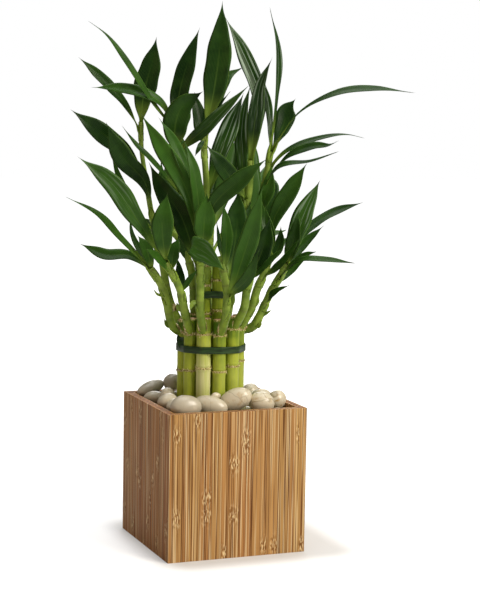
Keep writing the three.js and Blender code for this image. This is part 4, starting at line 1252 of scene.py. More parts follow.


# Shoots that the picture shows, as in the solids. Every point is pixels across and down, read off
# the picture, and millimetres behind the pot's middle, as given. A leaf row holds the pixel where
# it leaves the stem, the points that its midrib passes through up to the tip, its width in millimetres,
# how far it is rolled from facing the viewer, the share of its length at which it is widest, its tone
# from dark 0 to bright 1 and, for a few, how much painted highlight it carries in silvery streaks.
seenShoots = [
    {"name": "LeftLow", "node": "shoot_left_low", "cane": 1, "root": 187,
     "stem": [(172.5, 326, -10), (168.5, 314, -14), (166, 301, -18), (162.5, 289, -21),
              (157, 278, -25), (150.5, 268, -28)],
     "leaves": [
         ((150, 268), [(122, 239.5, -38), (98, 213.4, -52), (64, 196, -62)], 8.3, 48, 0.45, 0.75),
         ((154, 274), [(130, 256, -22), (105, 254.3, -23), (80, 243.5, -22)], 12, 35, 0.6, 0.45),
         ((161, 289), [(133, 235, -8), (130, 214, 4)], 6, 30, 0.5, 0.3),
         ((152, 270), [(147, 250, -34), (137, 234, -38)], 12, 30, 0.5, 0.5),
     ]},
    {"name": "LeftFront", "node": "shoot_left_front", "cane": 2, "root": 187,
     "stem": [(184.5, 308, -36), (180, 291, -43), (173, 275, -48), (165, 263, -51)],
     "leaves": [
         ((167, 265), [(135.8, 217, -62), (109.6, 182.2, -70), (77, 156, -76)], 18.2, 15, 0.6, 0.6, 0.12),
         ((166, 264), [(162.5, 227, -66), (168, 192, -66)], 19, 0, 0.55, 0.5),
         ((172, 274), [(158, 258, -62), (146.5, 249, -74)], 10, 50, 0.5, 0.7),
         ((171, 272), [(173, 253, -52), (180, 237, -50)], 12, 15, 0.5, 0.45),
         ((184, 292), [(189.5, 279, -46), (197.5, 268.5, -48)], 5.5, 20, 0.45, 0.45),
         ((184, 295), [(180.3, 276, -30), (177, 256, -27)], 8, 10, 0.45, 0.1),
     ]},
    {"name": "FrontBright", "node": "shoot_front_bright", "cane": 3, "root": 188,
     "stem": [(199.5, 310, -40), (200.5, 285, -44), (201, 262, -46), (203, 245, -47)],
     "leaves": [
         ((203, 250), [(204.5, 222, -56), (207, 192.5, -58)], 19, -5, 0.5, 0.75),
         ((201, 258), [(192, 246, -62), (207, 253, -78), (224, 271, -90)], 20, 0, 0.55, 1, 0.12),
         ((202, 256), [(187, 193, -44), (163, 149, -34), (140.5, 112.5, -26)], 16, 8, 0.6, 0.7),
         ((203, 248), [(190, 185, -40), (171, 138, -30), (157.5, 116, -22)], 12, 30, 0.65, 0.55),
         ((203, 247), [(194, 170, -46), (184, 138, -46)], 13, 30, 0.5, 0.6),
         ((203, 246), [(213, 207, -57), (240, 179, -72), (267, 158, -80)], 16.5, 10, 0.6, 0.5),
         ((200, 275), [(181, 215, -36), (163, 190, -25), (148, 161.5, -20)], 21, 5, 0.55, 0.15),
     ]},
    {"name": "FrontCentre", "node": "shoot_front_centre", "cane": 4, "root": 187,
     "stem": [(226.5, 312, -40), (226.5, 290, -44), (224, 272, -44), (221, 256, -42)],
     "leaves": [
         ((222, 262), [(219, 240, -34), (217, 221, -30)], 6, 50, 0.5, 0),
         ((223.5, 272), [(227, 238, -50), (223.5, 203, -48)], 11, 20, 0.5, 0.55),
         ((225, 285), [(236, 235, -20), (238, 188, -2)], 21, 10, 0.55, 0.2),
         ((227, 303), [(249, 238, -70), (263, 185, -84)], 17.5, -8, 0.5, 0.65),
         ((227, 296), [(248, 277, -72), (260, 247.5, -86)], 11, 20, 0.5, 0.6),
     ]},
    {"name": "FrontRight", "node": "shoot_front_right", "cane": 5, "root": 192,
     "stem": [(244.3, 308, -28), (246.5, 290, -32), (251.5, 272, -34)],
     "leaves": [
         ((249, 284), [(264, 245, -44), (270.5, 216.5, -48)], 17.5, 5, 0.5, 0.05),
         ((251, 274), [(271, 243, -34), (265, 204, -38)], 9, 25, 0.5, 0.5),
         ((250, 278), [(244, 240, -12), (250, 200, -2)], 18, 30, 0.5, 0.3),
         ((249, 281), [(266, 266, -50), (283, 248, -64)], 9, 55, 0.5, 0.6),
     ]},
    {"name": "RightInner", "node": "shoot_right_inner", "cane": 6, "root": 190,
     "stem": [(252, 307, -10), (257.3, 290, -12), (264, 273, -14), (270.5, 256, -16)],
     "leaves": [
         ((270, 258), [(273.5, 222, -22), (289.6, 192.5, -30), (307, 162, -34)], 16, 12, 0.62, 0.45),
         ((268, 267), [(279, 245, -11), (281.5, 225.5, -13)], 9, 10, 0.5, 0.2),
         ((264, 280), [(283, 262, -30), (300, 238, -44)], 9, 50, 0.5, 0.5),
         ((271, 256), [(262, 225, -6), (258, 190, -4)], 11, 30, 0.5, 0.45),
     ]},
    {"name": "RightLow", "node": "shoot_right_low", "cane": 7, "root": 188,
     "stem": [(253, 326.5, 7), (259.5, 315.5, 5), (266.5, 301, 3), (274, 287, 1),
              (281, 276, 0), (287, 264, -2)],
     "leaves": [
         ((286, 267), [(301, 220, -4), (320, 179, -6)], 17.8, 8, 0.5, 0.7, 0.4),
         ((286, 266), [(293, 240, -22), (299, 211, -28)], 13, 15, 0.5, 0.3),
         ((286, 266), [(304, 234.3, 14), (330, 214, 22), (364, 202, 26)], 10.5, 40, 0.6, 0.2),
         ((281, 276), [(301.5, 246, 18), (324, 225, 24)], 10, 35, 0.6, 0.3),
         ((282, 274), [(303, 256, -18), (316.5, 251.5, -26)], 9, 55, 0.5, 0.65),
         ((279, 279), [(302, 260, -30), (328, 260.2, -40), (355.5, 263.4, -46)], 7.5, 55, 0.6, 0.4),
         ((273, 288), [(291, 271, 10), (308, 257, 14)], 8, 40, 0.5, 0.55),
         ((264, 303), [(275, 291.8, -6), (290.5, 285.5, -12)], 6.5, 35, 0.36, 0.4),
     ]},
    {"name": "LeftTall", "node": "shoot_left_tall", "cane": 11, "root": 185,
     "stem": [(170.5, 303, 18), (160, 250, 20), (152, 213, 18), (146, 180, 14),
              (141.3, 150, 12), (141, 122, 12)],
     "leaves": [
         ((143, 127), [(143.5, 96, 14), (151.5, 62, 16), (156.5, 37, 16)], 21, 0, 0.5, 0),
         ((142, 133), [(124.5, 103.5, 3), (102, 79, -6), (78, 57, -14)], 10.5, 30, 0.62, 0.35),
         ((147, 180), [(127.3, 153.8, -4), (104.3, 133.8, -18), (70, 108.7, -30)], 17, 10, 0.6, 0.05),
         ((152, 214), [(144, 181.5, -14), (123, 156.5, -27), (105.5, 122, -36)], 18, 8, 0.66, 0.1),
         ((157, 232), [(136, 212, -6), (119, 178, -8), (110, 149, -10)], 7, 15, 0.55, 0.4),
     ]},
    {"name": "LeftInner", "node": "shoot_left_inner", "cane": 10, "root": 187,
     "stem": [(194, 306, 21), (193.5, 289, 20), (191, 269, 16), (187, 253, 12),
              (184, 212, 8), (179, 180, 6), (176, 152, 4), (174, 130, 4),
              (173, 112, 4)],
     "leaves": [
         ((190, 262), [(184, 248, 8), (177.5, 233, 4)], 10, 0, 0.5, 0.3),
         ((176, 135), [(179.5, 92, 12), (188, 61, 15), (200.5, 27, 16)], 17.2, 0, 0.48, 0),
         ((177, 150), [(174.5, 128, -6), (182, 106, -9), (204, 90.5, -10)], 23, -5, 0.45, 0.25),
         ((176, 128), [(159, 101, -6), (127, 89.2, -15), (90.5, 87.5, -18)], 12, 38, 0.52, 0.45),
         ((174, 130), [(152, 101, -10), (123.7, 57.5, -24), (105.5, 34, -31), (87.5, 19.8, -36)],
          6.8, 40, 0.5, 0.5),
         ((177, 153), [(205, 127.5, -18), (228, 106, -27), (249.5, 85, -32)], 12, 15, 0.45, 0.35, 0.15),
         ((181, 195), [(150.5, 159.5, -6), (135.5, 144, -10), (121.5, 125, -14)], 7, 50, 0.5, 0.4),
         ((187, 226), [(171, 200, 26), (160, 173, 34)], 14, 30, 0.5, 0.2),
     ]},
    {"name": "CentreTall", "node": "shoot_centre_tall", "cane": 12, "root": 229,
     "stem": [(207, 250, -14), (207, 215, -14), (206, 180, -12), (204, 150, -10),
              (206, 128, -10)],
     "leaves": [
         ((206, 130), [(214.3, 88, -15), (219.5, 50, -17), (222.5, 0, -18)], 22.8, 0, 0.5, 0.15),
         ((205, 133), [(214, 106, 0), (228, 78, 6), (242, 67.5, 9)], 14, 30, 0.6, 0.3, 0.15),
         ((206, 140), [(220, 106, -14), (231, 90.5, -16)], 6.5, 50, 0.5, 0.1),
         ((205, 150), [(199, 118, 2), (194, 91.5, 8)], 15, 25, 0.5, 0.15),
         ((207, 200), [(219, 155, -5), (231, 123, 0), (244, 92, 4)], 17.5, 12, 0.55, 0.2, 0.45),
         ((206, 137), [(200, 147, -20), (195, 156.5, -22)], 5, 20, 0.5, 0.1),
     ]},
    {"name": "RightHigh", "node": "shoot_right_high", "cane": 13, "root": 234,
     "stem": [(232, 250, -4), (243, 218, 0), (249, 188, 2), (250, 160, 2)],
     "leaves": [
         ((250, 165), [(255.5, 118, -6), (260.5, 85, -11), (272.5, 57, -14)], 13.5, 5, 0.45, 0.05, 0.3),
         ((246, 205), [(241.5, 140, 4), (244.5, 112, 6), (251.5, 82, 8)], 12.5, 20, 0.5, 0.35, 0.55),
         ((246, 200), [(233, 182, -22), (220, 163, -30), (206.5, 144.5, -34)], 16, 18, 0.6, 0.1),
         ((244, 214), [(242, 180, 14), (241, 135, 26)], 13, 30, 0.5, 0.25),
         ((250, 170), [(257.5, 130, 12), (259, 97, 18), (241, 47.5, 20), (224.5, 15.2, 20)],
          15, 15, 0.6, 0.2, 0.75),
     ]},
    {"name": "RightTall", "node": "shoot_right_tall", "cane": 14, "root": 235,
     "stem": [(240, 250, 14), (256, 215, 14), (264, 185, 12), (270, 152, 10)],
     "leaves": [
         ((270, 154), [(276.5, 98, 12), (277.5, 52, 12), (269.8, 6.5, 12)], 10.5, 60, 0.6, 0.1, 0.3),
         ((270, 153), [(299, 113.3, 0), (337, 92.6, -7), (375, 89.3, -12), (416, 92.6, -16)],
          9, 55, 0.65, 0.2),
         ((270, 158), [(284.5, 122, 23), (288, 109, 26), (295.5, 98.5, 28)], 17.5, 5, 0.66, 0.05),
         ((267, 172), [(288, 151, 9), (322, 137.3, 7), (347, 134.8, 8), (365, 138, 8)], 7, 50, 0.38, 0.2),
         ((265, 182), [(289, 156, -5), (315, 146, -9), (330, 145.2, -11), (338.5, 141, -12)],
          8.2, 40, 0.66, 0.15),
         ((262, 193), [(280, 166, -16), (310, 161.3, -26), (339, 151.8, -34)], 6.8, 58, 0.4, 0.2),
         ((257, 214.6), [(267.5, 190, 2), (272, 164.5, 4)], 13, 10, 0.5, 0.8),
         ((270, 151), [(270, 122, 22), (268, 100, 24), (264.5, 81, 26)], 7, 20, 0.6, 0.15, 0.5),
     ]},
]
# Shoots at the back, which the picture doesn't show, in millimetres: x to the right, y away and z up.
# Their leaf rows start with the share of the stem's length at which the leaf leaves it, and their tones
# rise by even steps.
hiddenShoots = [
    {"name": "BackRight", "node": "shoot_back_right", "cane": 8, "root": 186,
     "stem": [(12, 35, 203), (15, 42, 222), (22, 48, 241), (33, 53, 266)],
     "leaves": [
         (0.95, [(50, 84, 308), (46, 116, 326)], 20, 40, 0.5),
         (0.97, [(44, 90, 312), (46, 126, 338)], 21, 150, 0.5),
         (0.8, [(28, 78, 330), (16, 96, 384)], 20, 170, 0.5),
         (0.7, [(58, 62, 262), (80, 66, 272)], 18, 60, 0.5),
         (0.5, [(40, 90, 262), (66, 128, 272)], 17, 110, 0.5),
         (0.97, [(29, 70, 328), (23, 92, 382)], 21, 175, 0.5),
     ]},
    {"name": "BackCentre", "node": "shoot_back_centre", "cane": 9, "root": 186,
     "stem": [(-5, 40, 214), (-6, 50, 244), (-6, 57, 276)],
     "leaves": [
         (0.97, [(2, 92, 322), (12, 120, 364)], 21, 180, 0.5),
         (0.9, [(-29, 98, 324), (-46, 126, 346)], 20, 150, 0.5),
         (0.75, [(24, 88, 290), (44, 122, 306)], 18, 130, 0.5),
         (0.6, [(-24, 96, 262), (-34, 140, 268)], 19, 110, 0.5),
         (0.97, [(-30, 62, 326), (-46, 70, 384)], 22, 175, 0.5),
         (0.95, [(8, 76, 324), (18, 90, 364)], 19, 170, 0.5),
     ]},
    {"name": "BackLeft", "node": "shoot_back_left", "cane": 15, "root": 230,
     "stem": [(-12, 26, 246), (-28, 44, 262), (-40, 52, 274)],
     "leaves": [
         (0.97, [(-64, 68, 274), (-84, 84, 290)], 20, 140, 0.5),
         (0.95, [(-46, 92, 290), (-50, 128, 310)], 20, 150, 0.5),
         (0.8, [(-42, 66, 312), (-42, 84, 362)], 20, 170, 0.5),
         (0.6, [(-60, 64, 254), (-72, 74, 258)], 18, 100, 0.5),
         (0.97, [(-50, 54, 300), (-52, 58, 338)], 19, 60, 0.5),
         (0.9, [(-34, 78, 306), (-28, 100, 348)], 19, 175, 0.5),
     ]},
]
hiddenTones = {"darkest": 0.25, "step": 0.05}
rootHeights = [next(s["root"] for s in seenShoots + hiddenShoots if s["cane"] == k + 1) for k in range(15)]


# Canes: diameter, lower node and top as in the solids, then how green it is and how much wax bloom
# it carries. First the eleven of the outer ring, from the left one round the front.
canes = {
    "outer": [
        (11, 155, 200, 0.1, 0.1),
        (11.5, 157, 203, 0.05, 0.1),
        (12.8, 160, 204, -0.3, 1),
        (11.4, 157, 203, 0.2, 0.15),
        (12, 161, 205, 0.05, 0.2),
        (11, 164, 205, 0.1, 0.2),
        (11.5, 158, 200, 0.4, 0.2),
        (12, 162, 204, 0.3, 0.3),
        (11.5, 156, 202, 0.35, 0.3),
        (11.8, 160, 203, 0.5, 0.2),
        (11, 158, 200, 0.5, 0.2),
    ],
    "inner": [
        (10.4, 206, 243, -0.3, 0.1),
        (10.4, 209, 253, -0.35, 0.2),
        (10, 204, 248, -0.2, 0.1),
        (10, 211, 244, -0.2, 0.1),
    ],
    "outerRing": 24.5,
    "innerRing": 8.2,
    "firstOuterAngle": -169,
    "firstInnerAngle": -135,
    "bundleCentre": (-3, 0),
    "foot": 45,
    "nodeOverRoot": 2,
    # Height, place over the node and reach: the ridge, the swelling below, a groove and a shoulder.
    "nodeRings": [(0.45, -0.1, 0.55), (0.36, -1.6, 1.3), (-0.3, 0.9, 0.5), (0.25, 2.4, 1.0)],
    "buriedStep": 5,
    "wideStep": 3,
    "fineStep": 0.25,
    "fineSteps": 16,
    "wideRimGap": 1.2,
    "fineRimGap": 0.7,
    "rimSteps": (0.5, 0.2),
    "rimRounding": 0.25,
    # Share of the radius, and how far that ring belongs to the brown rim.
    "cutRings": [(0.9, 1), (0.82, 0.4), (0.55, 0.1), (0.25, 0)],
    "cutDepth": 0.8,
    "sides": 48,
    "unevenness": 0.16,
    "unevenHeight": 24,
    "unevenRadius": 3,
    # Above a height, a cane grows greener and darker: partly its own colour, partly painted shade under the
    # leaves.
    "greenAndShadeRise": 0.8,
    "greenAndShadeFrom": 170,
    "greenAndShadeReach": 26,
    "bloomHeight": 150,
    "bloomReach": 20,
    "leastBloom": 0.35,
    "bloomLoss": 0.8,
    "scarDrop": 0.1,
    "scarReach": 1.0,
    "topScar": 0.8,
    "dryReach": 1.1,
}


def canePlace(index):
    inner = index >= len(canes["outer"])
    count = len(canes["inner"]) if inner else len(canes["outer"])
    step = index - len(canes["outer"]) if inner else index
    first = canes["firstInnerAngle"] if inner else canes["firstOuterAngle"]
    radius = canes["innerRing"] if inner else canes["outerRing"]
    angle = math.radians(first + step * 360 / count)
    centre = canes["bundleCentre"]
    return centre[0] + radius * math.cos(angle), centre[1] + radius * math.sin(angle)


# How far the skin stands out or in near a node, by the height over the node.
def nodeSwelling(over):
    return sum(height * bell(over - middle, reach) for height, middle, reach in canes["nodeRings"])


# The heights of a cane's rings: wide steps, fine ones round its nodes, and the rim.
def caneHeights(joints, top):
    start, wide, fine = gravel["top"], canes["wideStep"], canes["fineStep"]
    heights = [canes["foot"], start - canes["buriedStep"]]
    heights += [start + wide * k for k in range(int((top - start - canes["wideRimGap"]) / wide) + 1)]
    for joint in joints:
        heights += [joint + fine * k for k in range(-canes["fineSteps"], canes["fineSteps"] + 1)]
    below = sorted({round(height, 2) for height in heights if height < top - canes["fineRimGap"]})
    return below + [top - step for step in canes["rimSteps"]]


def makeCane(index, row, rootHeight):
    diameter, lowerNode, top, green, bloom = row
    x, y = canePlace(index)
    joints = (lowerNode, rootHeight + canes["nodeOverRoot"])
    places, faces = [], []
    kept = {"green": [], "bloom": [], "scar": [], "rim": []}
    sides = canes["sides"]

    # A cane is greener and darker towards its top, partly its own colour and partly painted shade under
    # the leaves, waxiest a little above the pebbles, and scarred at its nodes and its cut.
    def keep(point, height, rim):
        places.append(plantToPot @ point)
        high = min(1, max(0, (height - canes["greenAndShadeFrom"]) / canes["greenAndShadeReach"]))
        paled = canes["leastBloom"] + bell(height - canes["bloomHeight"], canes["bloomReach"])
        ringScar = max(bell(height - joint + canes["scarDrop"], canes["scarReach"]) for joint in joints)
        kept["green"].append(green + canes["greenAndShadeRise"] * high)
        kept["bloom"].append(bloom * paled * (1 - canes["bloomLoss"] * high))
        kept["scar"].append(max(ringScar, canes["topScar"] * bell(top - height, canes["dryReach"])))
        kept["rim"].append(rim)

    def addRing(height, radius, rim=0):
        first = len(places)
        for k in range(sides):
            angle = k * 2 * math.pi / sides
            outward = Vector((math.cos(angle), math.sin(angle), 0))
            spot = Vector((outward.x + index * 5, outward.y, height / canes["unevenHeight"]))
            uneven = noise.noise(spot) * min(1, radius / canes["unevenRadius"])
            reach = radius + canes["unevenness"] * uneven
            keep(Vector((x, y, height)) + outward * reach, height, rim)
        return first

    def bridge(low, high):
        for k in range(sides):
            after = (k + 1) % sides
            faces.append((low + k, low + after, high + after, high + k))

    radius = diameter / 2
    last = None
    for height in caneHeights(joints, top):
        swelling = sum(nodeSwelling(height - joint) for joint in joints)
        rounding = canes["rimRounding"] if height == top - canes["rimSteps"][-1] else 0
        ring = addRing(height, radius + swelling - rounding)
        if last is None:
            faces.append(tuple(reversed(range(ring, ring + sides))))
        else:
            bridge(last, ring)
        last = ring
    capStart = len(faces)
    for share, rim in canes["cutRings"]:
        sunk = canes["cutDepth"] * (1 - share ** 2)
        ring = addRing(top - sunk, radius * share, rim)
        bridge(last, ring)
        last = ring
    middle = len(places)
    keep(Vector((x, y, top - canes["cutDepth"])), top, 0)
    for k in range(sides):
        faces.append((last + k, last + (k + 1) % sides, middle))

    mesh = meshOf(f"cane{index + 1:02d}", places, [], faces, kept)
    mesh.materials.append(finish["cane"])
    mesh.materials.append(finish["cut"])
    for number in range(capStart, len(faces)):
        mesh.polygons[number].material_index = 1
    piece = makePiece(f"cane{index + 1:02d}", mesh)
    smooth(piece)
    settle(piece, "cane", f"cane_{index + 1:02d}")


for number, caneRow in enumerate(canes["outer"] + canes["inner"]):
    makeCane(number, caneRow, rootHeights[number])
print("canes stand")


# Ties: a flat band drawn round each tier of canes, in plant millimetres.
ties = {
    "width": 6.2,
    "thickness": 0.9,
    "clearance": 0.3,
    "outerMiddle": 176,
    "innerMiddle": 223,
    "slack": 0.25,
    "sways": 3,
    "step": 2,
    "roundPoints": 60,
    "roundedEdge": 0.3,
    # Places that the free end passes, and how far it leans there, in radians.
    "tail": [
        (-27.2, -17, 175.6, 0),
        (-28.4, -14.8, 178, 0.4),
        (-29.6, -12.6, 181, 0.9),
        (-30.1, -10.4, 183.6, 1.4),
        (-29.6, -8.4, 185.6, 1.9),
    ],
    "tailPoints": 25,
}


# A band that follows a line, standing upright and turned by the line's own lean.
def bandTree():
    tree, given = startTree("bandAlongLine", {
        "Thickness": "Float", "Width": "Float", "Rounding": "Float", "Finish": "Material"})
    line = addNode(tree, "GeometryNodeMeshToCurve", {"Mesh": given["Geometry"]})
    upright = addNode(tree, "GeometryNodeSetCurveNormal", {"Curve": line.outputs[0]}, mode="Z_UP")
    lean = addNode(tree, "GeometryNodeInputNamedAttribute", {"Name": "lean"}, data_type="FLOAT")
    turned = addNode(tree, "GeometryNodeSetCurveTilt", {
        "Curve": upright.outputs[0], "Tilt": lean.outputs["Attribute"]})
    outline = addNode(tree, "GeometryNodeCurvePrimitiveQuadrilateral", {
        "Width": given["Thickness"], "Height": given["Width"]})
    rounded = addNode(tree, "GeometryNodeFilletCurve", {
        "Curve": outline.outputs[0], "Radius": given["Rounding"],
        "Count": 3, "Limit Radius": True}, mode="POLY")
    swept = addNode(tree, "GeometryNodeCurveToMesh", {
        "Curve": turned.outputs[0], "Profile Curve": rounded.outputs[0], "Fill Caps": True})
    return endTree(tree, swept, given["Finish"])


# The line that a tight band takes round the canes from first to last, swaying a little up and down.
def hullLine(first, last, middle):
    clear = ties["clearance"] + ties["thickness"] / 2
    rows = canes["outer"] + canes["inner"]
    points = []
    for index in range(first, last):
        x, y = canePlace(index)
        reach = rows[index][0] / 2 + clear
        for k in range(ties["roundPoints"]):
            angle = k * 2 * math.pi / ties["roundPoints"]
            points.append((x + reach * math.cos(angle), y + reach * math.sin(angle)))
    outline = [points[k] for k in geometry.convex_hull_2d(points)]
    line = []
    for start, end in zip(outline, outline[1:] + outline[:1]):
        gap = math.dist(start, end)
        parts = max(1, round(gap / ties["step"]))
        for k in range(parts):
            share = k / parts
            x = start[0] + (end[0] - start[0]) * share
            y = start[1] + (end[1] - start[1]) * share
            sway = ties["slack"] * math.sin(math.atan2(y, x) * ties["sways"])
            line.append(Vector((x, y, middle + sway)))
    return line


def makeBand(name, line, closed, leans, tree, *replaced):
    places = [plantToPot @ point for point in line]
    edges = [(k, k + 1) for k in range(len(line) - 1)]
    if closed:
        edges.append((len(line) - 1, 0))
    mesh = meshOf(name, places, edges, [], {"lean": leans})
    piece = runTree(name, mesh, tree, {
        "Thickness": ties["thickness"] * mm, "Width": ties["width"] * mm,
        "Rounding": ties["roundedEdge"] * mm, "Finish": finish["tie"]})
    smooth(piece)
    settle(piece, "tie_tape", *replaced)


# Fine points on a smooth line through a few given ones.
def smoothLine(points, count):
    return [splinePoint(points, k / (count - 1)) for k in range(count)]


band = bandTree()
outerLine = hullLine(0, len(canes["outer"]), ties["outerMiddle"])
innerLine = hullLine(len(canes["outer"]), len(canes["outer"]) + len(canes["inner"]), ties["innerMiddle"])
makeBand("tieOuter", outerLine, True, [0.0] * len(outerLine), band, "tie_outer")
makeBand("tieInner", innerLine, True, [0.0] * len(innerLine), band, "tie_inner")
tailLine = smoothLine([Vector(row[:3]) for row in ties["tail"]], ties["tailPoints"])
tailLeans = [p.x for p in smoothLine([Vector((row[3], 0, 0)) for row in ties["tail"]], ties["tailPoints"])]
makeBand("tieTail", tailLine, False, tailLeans, band)
print("ties drawn round")


# Fibres: what is left of the old leaf sheaths frays round every node.
fibres = {
    "aroundNode": 34,
    "length": 2.8,
    "thickness": 0.36,
    "tipThickness": 0.04,
    "smallest": (0.6, 0.6, 0.3),
    "largest": (1.5, 1.5, 1.2),
    "outOfCane": 0.36,
    "overNode": (-0.5, 0.2),
    "upOrDown": (-1, 1, 1),
    "lift": (0.3, 1),
    "outward": (0.1, 0.6),
    "sideways": (-0.8, 0.8),
    "seed": 5,
}


def fibreTree():
    tree, given = startTree("frayedFibres", {
        "Length": "Float", "Thickness": "Float", "Seed": "Int", "Finish": "Material"})
    spike = addNode(tree, "GeometryNodeMeshCone", {
        "Vertices": 4, "Side Segments": 2, "Radius Top": fibres["tipThickness"] * mm,
        "Radius Bottom": given["Thickness"], "Depth": given["Length"]})
    toward = addNode(tree, "GeometryNodeInputNamedAttribute", {"Name": "toward"}, data_type="FLOAT_VECTOR")
    aimed = addNode(tree, "FunctionNodeAlignRotationToVector", {
        "Vector": toward.outputs["Attribute"]}, axis="Z")
    size = addNode(tree, "FunctionNodeRandomValue", {
        0: fibres["smallest"], 1: fibres["largest"], "Seed": given["Seed"]}, data_type="FLOAT_VECTOR")
    laid = addNode(tree, "GeometryNodeInstanceOnPoints", {
        "Points": given["Geometry"], "Instance": spike.outputs["Mesh"],
        "Rotation": aimed.outputs[0], "Scale": size.outputs[0]})
    return endTree(tree, laid, given["Finish"])


def makeFibres():
    draw = random.Random(fibres["seed"])
    spots, toward = [], []
    for index, row in enumerate(canes["outer"] + canes["inner"]):
        x, y = canePlace(index)
        reach = row[0] / 2 + fibres["outOfCane"]
        for joint in (row[1], rootHeights[index] + canes["nodeOverRoot"]):
            for k in range(fibres["aroundNode"]):
                angle = (k + draw.random()) * 2 * math.pi / fibres["aroundNode"]
                outward = Vector((math.cos(angle), math.sin(angle), 0))
                sideways = Vector((-outward.y, outward.x, 0))
                spot = Vector((x, y, joint + draw.uniform(*fibres["overNode"]))) + outward * reach
                lift = draw.choice(fibres["upOrDown"]) * draw.uniform(*fibres["lift"])
                aim = outward * draw.uniform(*fibres["outward"])
                aim += sideways * draw.uniform(*fibres["sideways"]) + Vector((0, 0, lift))
                spots.append(plantToPot @ spot)
                toward.append(plantToPot.to_3x3().normalized() @ aim)
    mesh = meshOf("fibres", spots, [], [], {"toward": toward})
    piece = runTree("nodeFibres", mesh, fibreTree(), {
        "Length": fibres["length"] * mm, "Thickness": fibres["thickness"] * mm,
        "Seed": fibres["seed"], "Finish": finish["dry"]})
    settle(piece, "cane")


makeFibres()
print("nodes frayed")


# Small pebbles fill the gaps behind the large ones, where only a view from above reaches.
smallPebbles = {
    "tries": 3000,
    "size": (8.5, 14),
    "depthShare": 0.82,
    "heightShare": 0.6,
    "sunkShare": 0.2,
    "caneReach": 31,
    "wallGap": 0.5,
    "overlap": 0.9,
    "roundness": 3,
    "tones": (0.2, 0.95),
    "seed": 9,
}


# Places for small pebbles, tried at random, that keep off the large ones, the canes and each other.
def gapsBetweenPebbles(draw):
    look = smallPebbles
    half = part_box("gravel_filling")[1][0] / mm - look["wallGap"]
    bundle = plantToPot @ Vector((*canes["bundleCentre"], 0)) / mm
    taken = [(row[0], row[1], (row[3] + row[4]) / 4) for row in pebbles]
    taken.append((bundle.x, bundle.y, look["caneReach"]))
    found = []
    for attempt in range(look["tries"]):
        size = draw.uniform(*look["size"])
        reach = size / 2
        x, y = (draw.uniform(reach - half, half - reach) for axis in "xy")
        if all(math.dist((x, y), other[:2]) > (other[2] + reach) * look["overlap"] for other in taken):
            taken.append((x, y, reach))
            found.append((x, y, size))
    return found


def makeSmallPebbles():
    look = smallPebbles
    draw = random.Random(look["seed"])
    shape = bmesh.new()
    tone = shape.verts.layers.float.new("tone")
    for x, y, size in gapsBetweenPebbles(draw):
        height = size * look["heightShare"]
        middle = gravel["top"] + height * (0.5 - look["sunkShare"])
        place = (
            Matrix.Translation(Vector((x, y, middle)) * mm)
            @ Matrix.Rotation(draw.uniform(0, math.pi), 4, "Z")
            @ Matrix.Diagonal(Vector((size / 2, size * look["depthShare"] / 2, height / 2, 1 / mm)) * mm))
        made = bmesh.ops.create_icosphere(shape, subdivisions=look["roundness"], radius=1, matrix=place)
        shade = draw.uniform(*look["tones"])
        for corner in made["verts"]:
            corner[tone] = shade
    mesh = bpy.data.meshes.new("smallPebbles")
    shape.to_mesh(mesh)
    shape.free()
    mesh.materials.append(finish["stone"])
    piece = makePiece("smallPebbles", mesh)
    smooth(piece)
    settle(piece, "pebble")


makeSmallPebbles()
print("gaps filled")


# A stem's line, from the root on its cane through the stem's points.
def stemLine(shoot, stem):
    x, y = canePlace(shoot["cane"] - 1)
    return MeasuredLine([Vector((x, y, shoot["root"]))] + [Vector(point) for point in stem])


# A seen shoot with its readings turned to millimetres, and each leaf's foot to a share of the stem.
def inMillimetres(shoot):
    stem = [placeSeenAt(*point) for point in shoot["stem"]]
    line = stemLine(shoot, stem)
    rows = []
    for foot, path, *blade in shoot["leaves"]:
        rows.append((shareNearest(line, foot), [placeSeenAt(*point) for point in path], *blade))
    return {**shoot, "stem": stem, "leaves": rows}


# A hidden shoot with a tone added to each leaf row.
def withTones(shoot):
    rows = []
    for k, row in enumerate(shoot["leaves"]):
        rows.append((*row, hiddenTones["darkest"] + hiddenTones["step"] * k))
    return {**shoot, "leaves": rows}


shoots = [inMillimetres(shoot) for shoot in seenShoots] + [withTones(shoot) for shoot in hiddenShoots]


# A shoot's stem as a measured line, with the shares at which its leaves sit.
def stemOf(shoot):
    return stemLine(shoot, shoot["stem"]), sorted(row[0] for row in shoot["leaves"])


def makeShoot(shoot, tree, draw):
    line, feet = stemOf(shoot)
    makeStem(shoot, line, feet, tree)
    blades = Blades()
    for row in shoot["leaves"]:
        blades.addLeaf(line, feet, row, draw)
    piece = blades.makePiece("leaves" + shoot["name"], finish["leaf"])
    settle(piece, "leaf", shoot["node"])


# Dry scales: small papery leaves that clasp each stem near its foot, some of them sprung open.
scales = {
    "shares": (0.03, 0.15),
    "shareRange": (0, 0.05),
    "length": (4, 8),
    "width": (5, 8),
    "aside": (-1, 1),
    "away": (-1, 0.2),
    "spread": 3.2,
    "roll": (-30, 50),
    "widest": 0.4,
    "tone": 0,
    "seed": 33,
}


def addScales(shoot, blades, draw):
    line, feet = stemOf(shoot)
    for share in scales["shares"]:
        at = share + draw.uniform(*scales["shareRange"])
        length = draw.uniform(*scales["length"])
        aside, away = draw.uniform(*scales["aside"]), draw.uniform(*scales["away"])
        lean = Vector((aside, away, 0)) * scales["spread"]
        middle = line.at(at + length / 2 / line.length) + lean / 2
        tip = line.at(at + length / line.length) + lean
        width, roll = draw.uniform(*scales["width"]), draw.uniform(*scales["roll"])
        blades.addLeaf(line, feet, (at, [middle, tip], width, roll, scales["widest"], scales["tone"]), draw)
